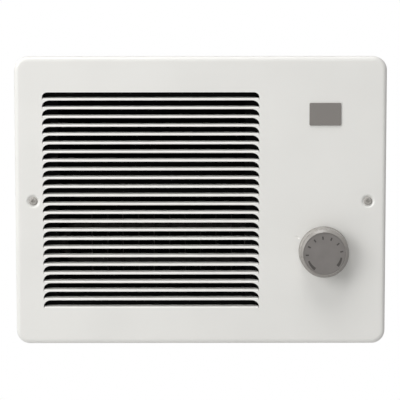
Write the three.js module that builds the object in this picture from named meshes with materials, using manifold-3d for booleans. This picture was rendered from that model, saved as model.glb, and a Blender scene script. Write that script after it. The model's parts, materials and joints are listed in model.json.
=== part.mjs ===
// In-wall bathroom fan heater with a pressed front panel, a cross-flow blower, a finned element and a
// room thermostat, in a sheet-steel can. Sizes are millimetres. +Z is up, the front faces -Y, and the
// origin is the middle of the panel on the wall surface, which is the plane y = 0.
import * as THREE from 'three';
import { mergeVertices } from 'three/addons/utils/BufferGeometryUtils.js';
import Module from 'manifold-3d';

const wasm = await Module();
wasm.setup();

// ---------------------------------------------------------------- sizes

const SEAT = 0.3; // clearance between two pieces that touch
const ROUND = 20; // sides of a round piece
const SMALL_ROUND = 10; // sides of a small round piece
const PAST = 1; // how far a cutting tool runs past what it cuts

// Front panel
const PANEL_WIDTH = 330;
const PANEL_HEIGHT = 257;
const PANEL_CORNER = 12;
const PANEL_DEPTH = 13;
const PANEL_SHEET = 0.9;
const RIM_BEND = 3;

// Louvres
const LOUVRE_COUNT = 25;
const LOUVRE_PITCH = 7.78;
const LOUVRE_INSET = 24.6; // from the panel's left edge
const LOUVRE_RAISE = 0.7; // of the louvres' middle over the panel's
const CONTROL_COLUMN = 112.9; // plain strip at the panel's right, with badge and knob
const LOUVRE_LIP = 0.6;
const LOUVRE_BEND = 1.3;
const LOUVRE_RISE_DEG = 6.5;
const LOUVRE_REACH = 7.1;
const LOUVRE_CORNER = 4.5;
const LOUVRE_SIDE_GAP = 0.4;

// Badge plate
const BADGE_WIDTH = 28;
const BADGE_HEIGHT = 20;
const BADGE_THICKNESS = 0.8;
const BADGE_CORNER = 1;
const BADGE_PIN_RADIUS = 1.2;
const BADGE_PIN_LENGTH = 3;
const BADGE_PIN_SPACING = 18;
const BADGE_INSET = 54.5; // from the panel's right edge
const BADGE_DROP = 51; // from the panel's top edge

// Panel screws, their dimples and clip nuts
const GRILLE_SCREW_OUT = 5; // outside the can's side
const GRILLE_SCREW_RADIUS = 2;
const GRILLE_SCREW_HEAD_RADIUS = 3.6;
const GRILLE_SCREW_HEAD = 2;
const GRILLE_SCREW_TIP = 4;
const DIMPLE_RADIUS = 5.8;
const DIMPLE_FLOOR_RADIUS = 4.2;
const DIMPLE_DEPTH = 2.2;
const NUT_SHEET = 0.8;
const NUT_HEIGHT = 12;
const NUT_REACH = 11;
const DRIVE_SLOT = 0.9;
const DRIVE_SHARE = 0.6; // of a head's radius, the drive slot's reach
const HEAD_EDGE_SHARE = 0.3; // of a head's height, its bevel

// Knob
const KNOB_INSET = 55.4; // from the panel's right edge
const KNOB_Z = -44.7;
const KNOB_RADIUS = 21.7;
const KNOB_SKIRT_RADIUS = 22.2;
const KNOB_SKIRT = 1.5;
const KNOB_HEIGHT = 18.5;
const KNOB_WALL = 2.6;
const KNOB_TOP = 2.2;
const KNOB_HUB_RADIUS = 7;
const KNOB_LIFT = 0.8;
const KNOB_EDGE = 1.6;
const KNOB_EDGE_INSET = 2.6;
const DIAL_RADIUS = 18.6;
const DIAL_THICKNESS = 0.6;
const INDEX_RADIUS = 26.2;
const INDEX_ANGLE_DEG = 152;
const INDEX_LENGTH = 3.6;
const INDEX_WIDTH = 1.6;
const INDEX_DEPTH = 0.45;

// Can
const PANEL_OVERLAP = 21; // of the panel over the can, at each side
const CAN_DEPTH = 95;
const CAN_SHEET = 1;
const CAN_PROUD = 2.6;
const CAN_LIP = 10;
const CAN_FLANGE = 10;
const EAR_WIDTH = 12;
const EAR_HEIGHT = 28;
const NAIL_HOLE_RADIUS = 2.6;
const NAIL_HOLE_Y = 20;
const NAIL_HOLE_DROP = 27; // from the can's top and bottom
const KNOCKOUT_RADIUS = 11;
const KNOCKOUT_INSET = 25; // from the can's right side, inside
const KNOCKOUT_Y = 45;

// Wiring compartment
const WIRING_WIDTH = 51; // from the partition to the can's right side, inside
const WIRING_Z = 30;
const WIRING_SHEET = 0.8;
const LEAD_RADIUS = 1.5;
const LEAD_BEND = 10; // room that a lead takes to turn
const GROMMET_RADIUS = 7;
const GROMMET_WALL = 1.6;
const GROMMET_LIP = 2;
const GROMMET_INSET = 20; // from the partition
const GROMMET_Y = 55;
const GROUND_SCREW_RADIUS = 2.2;
const GROUND_HEAD_RADIUS = 4.2;
const GROUND_HEAD = 2.6;
const GROUND_INSET = 25; // from the can's right side, inside
const GROUND_DROP = 41; // from the can's top

// Chassis
const CHASSIS_SIDE_GAP = 5; // to the can's sides, inside
const CHASSIS_END_GAP = 2; // to the can's top and bottom, inside
const CHASSIS_SHEET = 1;
const CHASSIS_SCREW_INSET = 13; // from the chassis's side edges
const CHASSIS_SCREW_RADIUS = 1.7;
const CHASSIS_SCREW_HEAD_RADIUS = 3.2;
const CHASSIS_SCREW_HEAD = 1.8;
const CHASSIS_SCREW_LENGTH = 9;

// Blower
const BLOWER_INSET = 11; // from the can's left side, inside
const BLOWER_SHEET = 1;
const BLOWER_FLANGE = 8;
const DUCT_HALF = 91;
const DUCT_FLANGE = 5;
const DUCT_CLEARANCE = 1; // from the duct's flanges to the can's lips
const DIVIDER_Z = 3;
const WHEEL_BACK_GAP = 3.3; // from the blower's side plates to the can's back, inside
const WHEEL_Z = 44;
const WHEEL_RADIUS = 27;
const WHEEL_HOLLOW_RADIUS = 20.5;
const WHEEL_END_GAP = 4; // at the idle end
const WHEEL_DRIVE_GAP = 9; // at the motor's end
const WHEEL_DISC = 1.2;
const WHEEL_HUB_RADIUS = 7;
const WHEEL_HUB_LENGTH = 12;
const BLADE_COUNT = 20;
const BLADE_THICKNESS = 0.9;
const BLADE_SWEEP_DEG = 11;
const WHEEL_RUN_GAP = 3;
const SCROLL_GROWTH = 8.7;
const SCROLL_RUN = 100;
const SCROLL_START_DEG = 80;
const SCROLL_END_DEG = -25;
const CUTOFF_LOW_DEG = 218;
const CUTOFF_HIGH_DEG = 205;
const END_PLATE_MARGIN = 5;
const AXLE_RADIUS = 2;
const AXLE_LENGTH = 20;
const BUSH_WALL = 2.2;
const BUSH_LENGTH = 7;
const RUBBER_WALL = 3.2;
const RUBBER_LIP = 2;

// Motor
const SHAFT_RADIUS = 2.5;
const RUNNING = 0.3; // clearance of a shaft in its bearing
const MOTOR_BAY = 47; // between the blower and the wiring partition
const STACK_STANDOFF = 8.3; // from the blower to the laminations
const STACK_THICKNESS = 20;
const STACK_HALF_WIDTH = 22;
const STACK_TOP = 22;
const STACK_BOTTOM = 40;
const STACK_LEG = 12;
const STACK_WINDOW = 12;
const ROTOR_RADIUS = 12.7;
const AIR_GAP = 0.5;
const COIL_THICKNESS = 7;
const COIL_LENGTH = 17;
const COIL_FLANGE = 1;
const BRACKET_THICKNESS = 3;
const BRACKET_HEIGHT = 12;
const BOSS_RADIUS = 7;
const BOSS_LENGTH = 2.2;
const MOTOR_FOOT_WIDTH = 8;
const MOTOR_SCREW_RADIUS = 1.5;
const MOTOR_SCREW_HEAD_RADIUS = 3;
const MOTOR_SCREW_HEAD = 2;
const MOTOR_SCREW_OFFSET = 17;
const SHAFT_OVERHANG = 4;
const SHAFT_IN_HUB = 10;

// Heating element
const ELEMENT_Y = 13;
const ELEMENT_Z = -40;
const ELEMENT_SPACING = 32;
const ELEMENT_RADIUS = 4;
const ELEMENT_BEND_INSET = 23; // from the blower's left plate to the hairpin's bend
const FIN_COUNT = 10;
const FIN_START_GAP = 10; // from the hairpin's bend to the first fin
const FIN_END_GAP = 16; // from the last fin to the blower's right plate
const FIN_THICKNESS = 0.8;
const FIN_DEPTH = 16;
const FIN_MARGIN = 11;
const COLLAR_WALL = 1.2;
const BUSHING_WALL = 1.2;
const BUSHING_FLANGE = 1.8;
const BUSHING_FLANGE_LENGTH = 2.5;
const SHEATH_OVERHANG = 4.5;
const PIN_RADIUS = 1.6;
const PIN_LENGTH = 12;
const PIN_SEAT = 5;
const CLIP_WIDTH = 8;
const CLIP_SHEET = 1;
const CLIP_FOOT = 24;
const CLIP_GRIP = 7;

// High-limit cut-out
const LIMIT_CAP_RADIUS = 7.6;
const LIMIT_CAP_LENGTH = 6;
const LIMIT_BODY_RADIUS = 7.2;
const LIMIT_BODY_LENGTH = 8;
const LIMIT_EAR = 26;
const LIMIT_EAR_HEIGHT = 12;
const TAB_THICKNESS = 0.8;
const TAB_WIDTH = 5;
const TAB_LENGTH = 8;
const LIMIT_TAB_OFFSET = 4.5;

// Room thermostat
const SPINDLE_RADIUS = 3.175;
const SPINDLE_FLAT = 1.9;
const SPINDLE_IN_KNOB = 15;
const CLIP_SPRING = 0.5;
const CLIP_SPRING_WIDTH = 3.4;
const CLIP_SPRING_LENGTH = 7;
const CONTROL_WIDTH = 40;
const CONTROL_HEIGHT = 44;
const CONTROL_DEPTH = 24;
const CONTROL_SHEET = 1.5;
const BUSHING_RADIUS = 4.75;
const BUSHING_LENGTH = 4.9;
const NUT_ACROSS_FLATS = 14;
const NUT_THICKNESS = 3;
const BASE_THICKNESS = 8;
const CAM_OUTER_RADIUS = 9.5;
const CAM_INNER_RADIUS = 4.5;
const CAM_LOW = 1.2;
const CAM_SLOPE_PER_DEG = 0.0112;
const CAM_MARGIN_DEG = 10;
const CAM_STEPS = 48;
const CAM_CLEARANCE = 0.4;
const KNOB_TURN_UP_DEG = 70;
const KNOB_TURN_DOWN_DEG = 180;
const FOLLOWER_RADIUS = 1.2;
const ARM_PIVOT_INSET = 2.4;
const ARM_PIVOT_Y = 11;
const ARM_WIDTH = 8;
const ARM_THICKNESS = 0.8;
const ARM_BARREL_RADIUS = 2.4;
const ARM_BARREL_LENGTH = 12;
const ARM_LENGTH = 35;
const PIVOT_PIN_RADIUS = 1.2;
const CONTACT_RADIUS = 1.6;
const CONTACT_HEIGHT = 1;
const CONTACT_FROM_PIVOT = 32;
const TERMINAL_WIDTH = 6.3;
const TERMINAL_LENGTH = 9;
const TERMINAL_FOOT = 1; // in front of the base
const TERMINAL_RISE = 10; // above the knob's axis

// ---------------------------------------------------------------- levels that follow from the sizes

const faceY = -PANEL_DEPTH;
const faceBackY = faceY + PANEL_SHEET;
const lipFrontY = -CAN_PROUD;
const lipBackY = lipFrontY + CAN_SHEET;
const chassisBackY = lipFrontY - SEAT;
const chassisFrontY = chassisBackY - CHASSIS_SHEET;
const behindChassisY = chassisBackY + SEAT;
const canBackY = CAN_DEPTH;
const canInnerBackY = canBackY - CAN_SHEET;
const canHalf = DUCT_HALF + DUCT_CLEARANCE + DUCT_FLANGE + CAN_LIP;
const canInnerHalf = canHalf - CAN_SHEET;
const canSideX = PANEL_WIDTH / 2 - PANEL_OVERLAP;
const canInnerX = canSideX - CAN_SHEET;
const flangeHalf = canInnerHalf - SEAT - CAN_SHEET;
const flangeBackY = canInnerBackY - SEAT - CAN_SHEET;
const knobX = PANEL_WIDTH / 2 - KNOB_INSET;
const badgeX = PANEL_WIDTH / 2 - BADGE_INSET;
const badgeZ = PANEL_HEIGHT / 2 - BADGE_DROP;
const grilleScrewX = canSideX + GRILLE_SCREW_OUT;
const chassisHalfX = canInnerX - CHASSIS_SIDE_GAP;
const chassisHalfZ = canInnerHalf - CHASSIS_END_GAP;
const chassisScrewX = chassisHalfX - CHASSIS_SCREW_INSET;
const chassisScrewZ = canHalf - CAN_LIP / 2;
const nailHoleZ = canHalf - NAIL_HOLE_DROP;
const wiringX = canInnerX - WIRING_WIDTH;
const knockoutX = canInnerX - KNOCKOUT_INSET;
const grommetX = wiringX + GROMMET_INSET;
const groundX = canInnerX - GROUND_INSET;
const groundZ = canHalf - GROUND_DROP;
const blowerLeft = BLOWER_INSET - canInnerX;
const blowerRight = wiringX - MOTOR_BAY;
const innerLeft = blowerLeft + BLOWER_SHEET;
const innerRight = blowerRight - BLOWER_SHEET;
const wheelLeft = innerLeft + WHEEL_END_GAP;
const wheelRight = innerRight - WHEEL_DRIVE_GAP;
const scrollDepth = WHEEL_RADIUS + WHEEL_RUN_GAP + SCROLL_GROWTH + END_PLATE_MARGIN;
const wheelY = canInnerBackY - WHEEL_BACK_GAP - scrollDepth;
const wheelOrigin = [0, wheelY, WHEEL_Z];
const stackLeft = blowerRight + STACK_STANDOFF;
const stackRight = stackLeft + STACK_THICKNESS;

// ---------------------------------------------------------------- solids

// A closed geometry as a solid: shared corners merged, empty triangles dropped, faces turned outwards.
function solidOf(source) {
  const bare = source.clone();
  bare.deleteAttribute('normal');
  bare.deleteAttribute('uv');
  const merged = mergeVertices(bare, 1e-4);
  const corner = merged.attributes.position;
  const triangles = [];
  let volume = 0;
  const a = new THREE.Vector3();
  const b = new THREE.Vector3();
  const c = new THREE.Vector3();
  for (let i = 0; i < merged.index.count; i += 3) {
    const [p, q, r] = [0, 1, 2].map((k) => merged.index.getX(i + k));
    if (p === q || q === r || r === p) continue;
    triangles.push([p, q, r]);
    a.fromBufferAttribute(corner, p);
    b.fromBufferAttribute(corner, q);
    c.fromBufferAttribute(corner, r);
    volume += a.dot(b.cross(c));
  }
  const outward = volume > 0 ? triangles : triangles.map(([p, q, r]) => [p, r, q]);
  return new wasm.Manifold(
    new wasm.Mesh({
      numProp: 3,
      vertProperties: new Float32Array(corner.array),
      triVerts: new Uint32Array(outward.flat()),
    }),
  );
}

function join(...parts) {
  return parts.flat().reduce((whole, part) => whole.add(part));
}

function cut(whole, ...tools) {
  return tools.flat().reduce((rest, tool) => rest.subtract(tool), whole);
}

// A box between two opposite corners.
function block([x0, x1], [y0, y1], [z0, z1]) {
  const geometry = new THREE.BoxGeometry(Math.abs(x1 - x0), Math.abs(y1 - y0), Math.abs(z1 - z0));
  return solidOf(geometry.translate((x0 + x1) / 2, (y0 + y1) / 2, (z0 + z1) / 2));
}

function shapeOf(points) {
  return new THREE.Shape(points.map(([u, v]) => new THREE.Vector2(u, v)));
}

function extruded(shape, depth, sides) {
  return new THREE.ExtrudeGeometry(shape, { depth, bevelEnabled: false, curveSegments: sides });
}

// An outline in (y, z), swept along X from x0 to x1.
function alongX(shape, x0, x1, sides = 6) {
  const geometry = extruded(shape, x1 - x0, sides);
  const basis = new THREE.Matrix4().makeBasis(
    new THREE.Vector3(0, 1, 0), new THREE.Vector3(0, 0, 1), new THREE.Vector3(1, 0, 0));
  return solidOf(geometry.applyMatrix4(basis).translate(x0, 0, 0));
}

// An outline in (x, z), swept along Y from y0 (front) to y1 (back).
function alongY(shape, y0, y1, sides = 6) {
  const geometry = extruded(shape, y1 - y0, sides);
  const basis = new THREE.Matrix4().makeBasis(
    new THREE.Vector3(1, 0, 0), new THREE.Vector3(0, 0, 1), new THREE.Vector3(0, -1, 0));
  return solidOf(geometry.applyMatrix4(basis).translate(0, y1, 0));
}

// An outline in (x, y), swept along Z from z0 to z1.
function alongZ(shape, z0, z1, sides = 6) {
  return solidOf(extruded(shape, z1 - z0, sides).translate(0, 0, z0));
}

const AXIS_TURN = {
  x: new THREE.Matrix4().makeRotationZ(-Math.PI / 2),
  y: new THREE.Matrix4(),
  z: new THREE.Matrix4().makeRotationX(Math.PI / 2),
};

// A turned piece: [radius, distance along the axis] pairs, from an origin on that axis.
function turned(profile, axis, origin, sides = ROUND) {
  const geometry = new THREE.LatheGeometry(profile.map(([r, t]) => new THREE.Vector2(r, t)), sides);
  return solidOf(geometry.applyMatrix4(AXIS_TURN[axis]).translate(...origin));
}

// A round rod along an axis, between two distances from the origin.
function rod(radius, [from, to], axis, origin, sides = ROUND) {
  return turned([[0, from], [radius, from], [radius, to], [0, to]], axis, origin, sides);
}

// A round tube, closed on itself.
function ring(inner, outer, [from, to], axis, origin, sides = ROUND) {
  const profile = [[inner, from], [outer, from], [outer, to], [inner, to], [inner, from]];
  return turned(profile, axis, origin, sides);
}

// The outline of a bent sheet: a line of points, and its copy set off to the left by the thickness.
function sheetOutline(line, thickness) {
  const offset = line.map((point, i) => {
    const before = line[Math.max(i - 1, 0)];
    const after = line[Math.min(i + 1, line.length - 1)];
    const first = unit(i > 0 ? [point[0] - before[0], point[1] - before[1]]
      : [after[0] - point[0], after[1] - point[1]]);
    const second = unit(i < line.length - 1 ? [after[0] - point[0], after[1] - point[1]] : first);
    const normal = unit([-(first[1] + second[1]), first[0] + second[0]]);
    const stretch = 1 / Math.max(normal[0] * -first[1] + normal[1] * first[0], 0.3);
    return [point[0] + normal[0] * thickness * stretch, point[1] + normal[1] * thickness * stretch];
  });
  return [...line, ...offset.reverse()];
}

function unit([u, v]) {
  const length = Math.hypot(u, v);
  return [u / length, v / length];
}

function roundedRectangle(halfWidth, halfHeight, radius) {
  const shape = new THREE.Shape();
  shape.absarc(halfWidth - radius, halfHeight - radius, radius, 0, Math.PI / 2);
  shape.absarc(radius - halfWidth, halfHeight - radius, radius, Math.PI / 2, Math.PI);
  shape.absarc(radius - halfWidth, radius - halfHeight, radius, Math.PI, 1.5 * Math.PI);
  shape.absarc(halfWidth - radius, radius - halfHeight, radius, 1.5 * Math.PI, 2 * Math.PI);
  return shape;
}

function movedShape(shape, du, dv, sides) {
  return new THREE.Shape(shape.getPoints(sides).map((p) => new THREE.Vector2(p.x + du, p.y + dv)));
}

// A tray with a rounded outline: [inset, y] pairs from the back to the front, linked ring by ring.
function roundedTray(halfWidth, halfHeight, radius, levels) {
  const arcSteps = 5;
  const rings = levels.map(([inset, y]) => {
    const points = [];
    for (let quarter = 0; quarter < 4; quarter += 1) {
      const right = quarter === 0 || quarter === 3 ? 1 : -1;
      const top = quarter < 2 ? 1 : -1;
      for (let i = 0; i <= arcSteps; i += 1) {
        const angle = ((quarter + i / arcSteps) * Math.PI) / 2;
        points.push([
          right * (halfWidth - radius) + (radius - inset) * Math.cos(angle),
          y,
          top * (halfHeight - radius) + (radius - inset) * Math.sin(angle),
        ]);
      }
    }
    return points;
  });
  const count = rings[0].length;
  const index = [];
  for (let level = 0; level < rings.length - 1; level += 1) {
    for (let i = 0; i < count; i += 1) {
      const j = (i + 1) % count;
      const back = level * count;
      const front = back + count;
      index.push(back + i, back + j, front + j, back + i, front + j, front + i);
    }
  }
  const last = (rings.length - 1) * count;
  for (let i = 1; i < count - 1; i += 1) {
    index.push(0, i + 1, i, last, last + i, last + i + 1);
  }
  const geometry = new THREE.BufferGeometry();
  geometry.setAttribute('position', new THREE.Float32BufferAttribute(rings.flat(2), 3));
  geometry.setIndex(index);
  return solidOf(geometry);
}

// A round lead or tube through points, as one smooth curve.
function tubeThrough(points, radius, steps, sides) {
  const curve = new THREE.CatmullRomCurve3(points.map((p) => new THREE.Vector3(...p)));
  return tubeAlong(curve, radius, steps, sides);
}

function tubeAlong(curve, radius, steps, sides) {
  const section = new THREE.Shape();
  for (let i = 0; i < sides; i += 1) {
    const angle = (i / sides) * 2 * Math.PI;
    const corner = [radius * Math.cos(angle), radius * Math.sin(angle)];
    if (i === 0) section.moveTo(...corner);
    else section.lineTo(...corner);
  }
  return solidOf(new THREE.ExtrudeGeometry(section, { steps, extrudePath: curve, bevelEnabled: false }));
}

// ---------------------------------------------------------------- scene

const heater = new THREE.Group();

const LOOKS = {
  whitePaint: [0xe9e8e3, 0.45, 0],
  badgeGrey: [0x86827e, 0.5, 0],
  knobGrey: [0x7e7a76, 0.45, 0],
  dialGrey: [0x7c7875, 0.5, 0],
  zincSteel: [0xa9adb0, 0.4, 0.85],
  blackEnamel: [0x1a1a1b, 0.5, 0],
  screwSteel: [0xb5b5b2, 0.35, 0.9],
  springSteel: [0x8f9398, 0.35, 0.9],
  laminatedSteel: [0x6d6f72, 0.55, 0.8],
  elementSteel: [0x5a5550, 0.55, 0.7],
  aluminium: [0xc4c7c9, 0.4, 0.9],
  brass: [0xb79a58, 0.35, 0.9],
  bronze: [0x9a6f43, 0.4, 0.85],
  rubber: [0x1c1c1c, 0.85, 0],
  phenolic: [0x2a2725, 0.6, 0],
  ceramic: [0xe7e2d6, 0.55, 0],
  windingTape: [0xd9c9a0, 0.6, 0],
  blackLead: [0x181818, 0.55, 0],
  whiteLead: [0xdcdad4, 0.55, 0],
  redLead: [0xa3281f, 0.55, 0],
  greenScrew: [0x2f7a43, 0.4, 0.5],
};

function addPart(name, solid, look) {
  const mesh = solid.getMesh();
  const geometry = new THREE.BufferGeometry();
  geometry.setAttribute('position', new THREE.Float32BufferAttribute(mesh.vertProperties, 3));
  geometry.setIndex(Array.from(mesh.triVerts));
  geometry.computeVertexNormals();
  const [color, roughness, metalness] = LOOKS[look];
  const material = new THREE.MeshStandardMaterial({ color, roughness, metalness, flatShading: true });
  const part = new THREE.Mesh(geometry, material);
  part.name = name;
  heater.add(part);
}

// ---------------------------------------------------------------- front panel

const louvreLeft = LOUVRE_INSET - PANEL_WIDTH / 2;
const louvreRight = PANEL_WIDTH / 2 - CONTROL_COLUMN;
const openingHeight = LOUVRE_PITCH - LOUVRE_LIP;
const louvreHalf = (LOUVRE_PITCH * (LOUVRE_COUNT - 1) + openingHeight) / 2;
const louvreBottom = LOUVRE_RAISE - louvreHalf;
const louvreTop = LOUVRE_RAISE + louvreHalf;

// The outline of one louvre opening: square below, with rounded upper corners.
function openingShape(hingeZ) {
  const top = hingeZ + openingHeight;
  const shape = new THREE.Shape();
  shape.moveTo(louvreLeft, hingeZ);
  shape.lineTo(louvreRight, hingeZ);
  shape.absarc(louvreRight - LOUVRE_CORNER, top - LOUVRE_CORNER, LOUVRE_CORNER, 0, Math.PI / 2);
  shape.absarc(louvreLeft + LOUVRE_CORNER, top - LOUVRE_CORNER, LOUVRE_CORNER, Math.PI / 2, Math.PI);
  return shape;
}

// The side view of one louvre: a short lip in the panel's face, a bend, and a blade that reaches in.
function louvreShape(hingeZ) {
  const bendSteps = 2;
  const rise = THREE.MathUtils.degToRad(LOUVRE_RISE_DEG);
  const line = [[faceY, hingeZ - LOUVRE_LIP]];
  for (let i = 0; i <= bendSteps; i += 1) {
    const angle = (i / bendSteps) * (Math.PI / 2 - rise);
    line.push([
      faceY + LOUVRE_BEND * (1 - Math.cos(angle)),
      hingeZ + LOUVRE_BEND * Math.sin(angle),
    ]);
  }
  const [bendY, bendZ] = line[line.length - 1];
  const reach = faceY + LOUVRE_REACH - bendY;
  line.push([bendY + reach, bendZ + reach * Math.tan(rise)]);
  return shapeOf(sheetOutline(line, -PANEL_SHEET));
}

// The plan of all the blades: straight sides and rounded inner corners.
function bladePlan() {
  const inner = faceY + LOUVRE_REACH + PANEL_SHEET;
  const left = louvreLeft + LOUVRE_SIDE_GAP;
  const right = louvreRight - LOUVRE_SIDE_GAP;
  const shape = new THREE.Shape();
  shape.moveTo(left, faceY - SEAT);
  shape.lineTo(right, faceY - SEAT);
  shape.absarc(right - LOUVRE_CORNER, inner - LOUVRE_CORNER, LOUVRE_CORNER, 0, Math.PI / 2);
  shape.absarc(left + LOUVRE_CORNER, inner - LOUVRE_CORNER, LOUVRE_CORNER, Math.PI / 2, Math.PI);
  return shape;
}

function panelTray() {
  const bendSteps = 4;
  const levels = [[0, 0]];
  for (let i = 0; i <= bendSteps; i += 1) {
    const angle = (i / bendSteps) * (Math.PI / 2);
    levels.push([RIM_BEND * (1 - Math.cos(angle)), faceY + RIM_BEND * (1 - Math.sin(angle))]);
  }
  const innerBend = RIM_BEND - PANEL_SHEET;
  const innerLevels = [[PANEL_SHEET, SEAT]];
  for (let i = 0; i <= bendSteps; i += 1) {
    const angle = (i / bendSteps) * (Math.PI / 2);
    innerLevels.push([
      PANEL_SHEET + innerBend * (1 - Math.cos(angle)),
      faceBackY + innerBend * (1 - Math.sin(angle)),
    ]);
  }
  const outer = roundedTray(PANEL_WIDTH / 2, PANEL_HEIGHT / 2, PANEL_CORNER, levels);
  return cut(outer, roundedTray(PANEL_WIDTH / 2, PANEL_HEIGHT / 2, PANEL_CORNER, innerLevels));
}

// A dished seat for a panel screw, pressed into the face.
function dimple(x) {
  const hole = GRILLE_SCREW_RADIUS + SEAT;
  const profile = [
    [DIMPLE_RADIUS + SEAT, 0], [DIMPLE_RADIUS, 0], [DIMPLE_FLOOR_RADIUS, DIMPLE_DEPTH],
    [hole, DIMPLE_DEPTH], [hole, DIMPLE_DEPTH + PANEL_SHEET],
    [DIMPLE_FLOOR_RADIUS, DIMPLE_DEPTH + PANEL_SHEET], [DIMPLE_RADIUS, PANEL_SHEET],
    [DIMPLE_RADIUS + SEAT, PANEL_SHEET], [DIMPLE_RADIUS + SEAT, 0],
  ];
  return turned(profile, 'y', [x, faceY, 0]);
}

function frontGrille() {
  const hinges = Array.from({ length: LOUVRE_COUNT }, (_, i) => louvreBottom + i * LOUVRE_PITCH);
  const through = [faceY - SEAT, faceBackY + SEAT];
  const openings = hinges.map((z) => alongY(openingShape(z), ...through, 3));
  const plan = alongZ(bladePlan(), louvreBottom - LOUVRE_PITCH, louvreTop + LOUVRE_PITCH, 1);
  const blades = hinges.map((z) => alongX(louvreShape(z), louvreLeft, louvreRight).intersect(plan));
  const dimpleX = [-grilleScrewX, grilleScrewX];
  const dimpleHoles = dimpleX.map((x) => rod(DIMPLE_RADIUS, through, 'y', [x, 0, 0]));
  const shaftHole = rod(SPINDLE_RADIUS + PANEL_SHEET, through, 'y', [knobX, 0, KNOB_Z]);
  const badgeHoles = badgePinX().map((x) =>
    rod(BADGE_PIN_RADIUS + SEAT, through, 'y', [x, 0, badgeZ], SMALL_ROUND));
  const panel = cut(panelTray(), openings, dimpleHoles, shaftHole, badgeHoles, indexMark());
  return join(panel, blades, dimpleX.map(dimple));
}

// The tool of the short pressed mark beside the knob, which its dial is read against.
function indexMark() {
  const angle = THREE.MathUtils.degToRad(INDEX_ANGLE_DEG);
  const bar = new THREE.BoxGeometry(INDEX_LENGTH, 2 * INDEX_DEPTH, INDEX_WIDTH);
  bar.rotateY(-angle);
  const x = knobX + INDEX_RADIUS * Math.cos(angle);
  const z = KNOB_Z + INDEX_RADIUS * Math.sin(angle);
  return solidOf(bar.translate(x, faceY, z));
}

function badgePinX() {
  return [badgeX - BADGE_PIN_SPACING / 2, badgeX + BADGE_PIN_SPACING / 2];
}

function badgePlate() {
  const backY = faceY - SEAT;
  const outline = roundedRectangle(BADGE_WIDTH / 2, BADGE_HEIGHT / 2, BADGE_CORNER);
  const plate = alongY(movedShape(outline, badgeX, badgeZ, 3), backY - BADGE_THICKNESS, backY);
  const pins = badgePinX().map((x) =>
    rod(BADGE_PIN_RADIUS, [backY - SEAT, backY + BADGE_PIN_LENGTH], 'y', [x, 0, badgeZ], SMALL_ROUND));
  return join(plate, pins);
}

// A cross-head screw along +Y, with its head's underside at seatY.
function screwAlongY(x, z, seatY, radius, headRadius, head, tipY) {
  const edge = head * HEAD_EDGE_SHARE;
  const profile = [
    [0, seatY - head], [headRadius - edge, seatY - head], [headRadius, seatY - head + edge],
    [headRadius, seatY], [radius, seatY], [radius, tipY - radius / 2], [radius / 2, tipY], [0, tipY],
  ];
  const body = turned(profile, 'y', [x, 0, z], 16);
  const reach = headRadius * DRIVE_SHARE;
  const depth = [seatY - head - SEAT, seatY - head / 2];
  const slots = [
    block([x - reach, x + reach], depth, [z - DRIVE_SLOT / 2, z + DRIVE_SLOT / 2]),
    block([x - DRIVE_SLOT / 2, x + DRIVE_SLOT / 2], depth, [z - reach, z + reach]),
  ];
  return cut(body, slots);
}

function grilleScrew(x) {
  const seatY = faceY + DIMPLE_DEPTH - SEAT;
  return screwAlongY(x, 0, seatY, GRILLE_SCREW_RADIUS, GRILLE_SCREW_HEAD_RADIUS,
    GRILLE_SCREW_HEAD, lipBackY + GRILLE_SCREW_TIP);
}

// A clip nut that slides over the can's ear from its outer edge.
function grilleNut(side) {
  const outerX = canSideX + EAR_WIDTH + SEAT + NUT_SHEET;
  const frontY = lipFrontY - SEAT - NUT_SHEET;
  const backY = lipBackY + SEAT + NUT_SHEET;
  const body = block([outerX - NUT_REACH, outerX], [frontY, backY], [-NUT_HEIGHT / 2, NUT_HEIGHT / 2]);
  const slot = block([outerX - NUT_REACH - PAST, outerX - NUT_SHEET],
    [lipFrontY - SEAT, lipBackY + SEAT], [-NUT_HEIGHT, NUT_HEIGHT]);
  const hole = rod(GRILLE_SCREW_RADIUS + SEAT, [frontY - PAST, backY + PAST], 'y', [grilleScrewX, 0, 0]);
  return sideOf(cut(body, slot, hole), side);
}

// The solid itself on the right (side 1), or its mirror image on the left (side -1).
function sideOf(solid, side) {
  return side > 0 ? solid : solid.mirror([1, 0, 0]);
}

// ---------------------------------------------------------------- knob

const knobBackY = faceY - KNOB_LIFT;
const knobFrontY = knobBackY - KNOB_HEIGHT;
const knobOrigin = [knobX, 0, KNOB_Z];
const dialSeatY = knobFrontY + DIAL_THICKNESS + SEAT;
const knobCavityY = dialSeatY + KNOB_TOP;
const spindleTipY = knobBackY - SPINDLE_IN_KNOB;
const boreFlat = SPINDLE_FLAT + CLIP_SPRING + 2 * SEAT;

function thermostatKnob() {
  const skirtFrontY = knobBackY - KNOB_SKIRT;
  const body = turned([
    [0, knobBackY], [KNOB_SKIRT_RADIUS, knobBackY], [KNOB_SKIRT_RADIUS, skirtFrontY],
    [KNOB_RADIUS, skirtFrontY], [KNOB_RADIUS, knobFrontY + KNOB_EDGE],
    [KNOB_RADIUS - KNOB_EDGE_INSET, knobFrontY], [0, knobFrontY],
  ], 'y', knobOrigin, 3 * ROUND);
  const dialRecess = rod(DIAL_RADIUS + SEAT, [knobFrontY - PAST, dialSeatY], 'y', knobOrigin, 3 * ROUND);
  const cavity = ring(KNOB_HUB_RADIUS, KNOB_RADIUS - KNOB_WALL, [knobCavityY, knobBackY + PAST],
    'y', knobOrigin);
  const boreEndY = spindleTipY - SEAT;
  const bore = rod(SPINDLE_RADIUS + SEAT, [boreEndY, knobBackY + PAST], 'y', knobOrigin);
  const flat = block([knobX - SPINDLE_RADIUS * 2, knobX + SPINDLE_RADIUS * 2],
    [boreEndY - PAST, knobBackY + 2 * PAST], [KNOB_Z - SPINDLE_RADIUS * 3, KNOB_Z - boreFlat]);
  return cut(body, dialRecess, cavity, cut(bore, flat));
}

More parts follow.
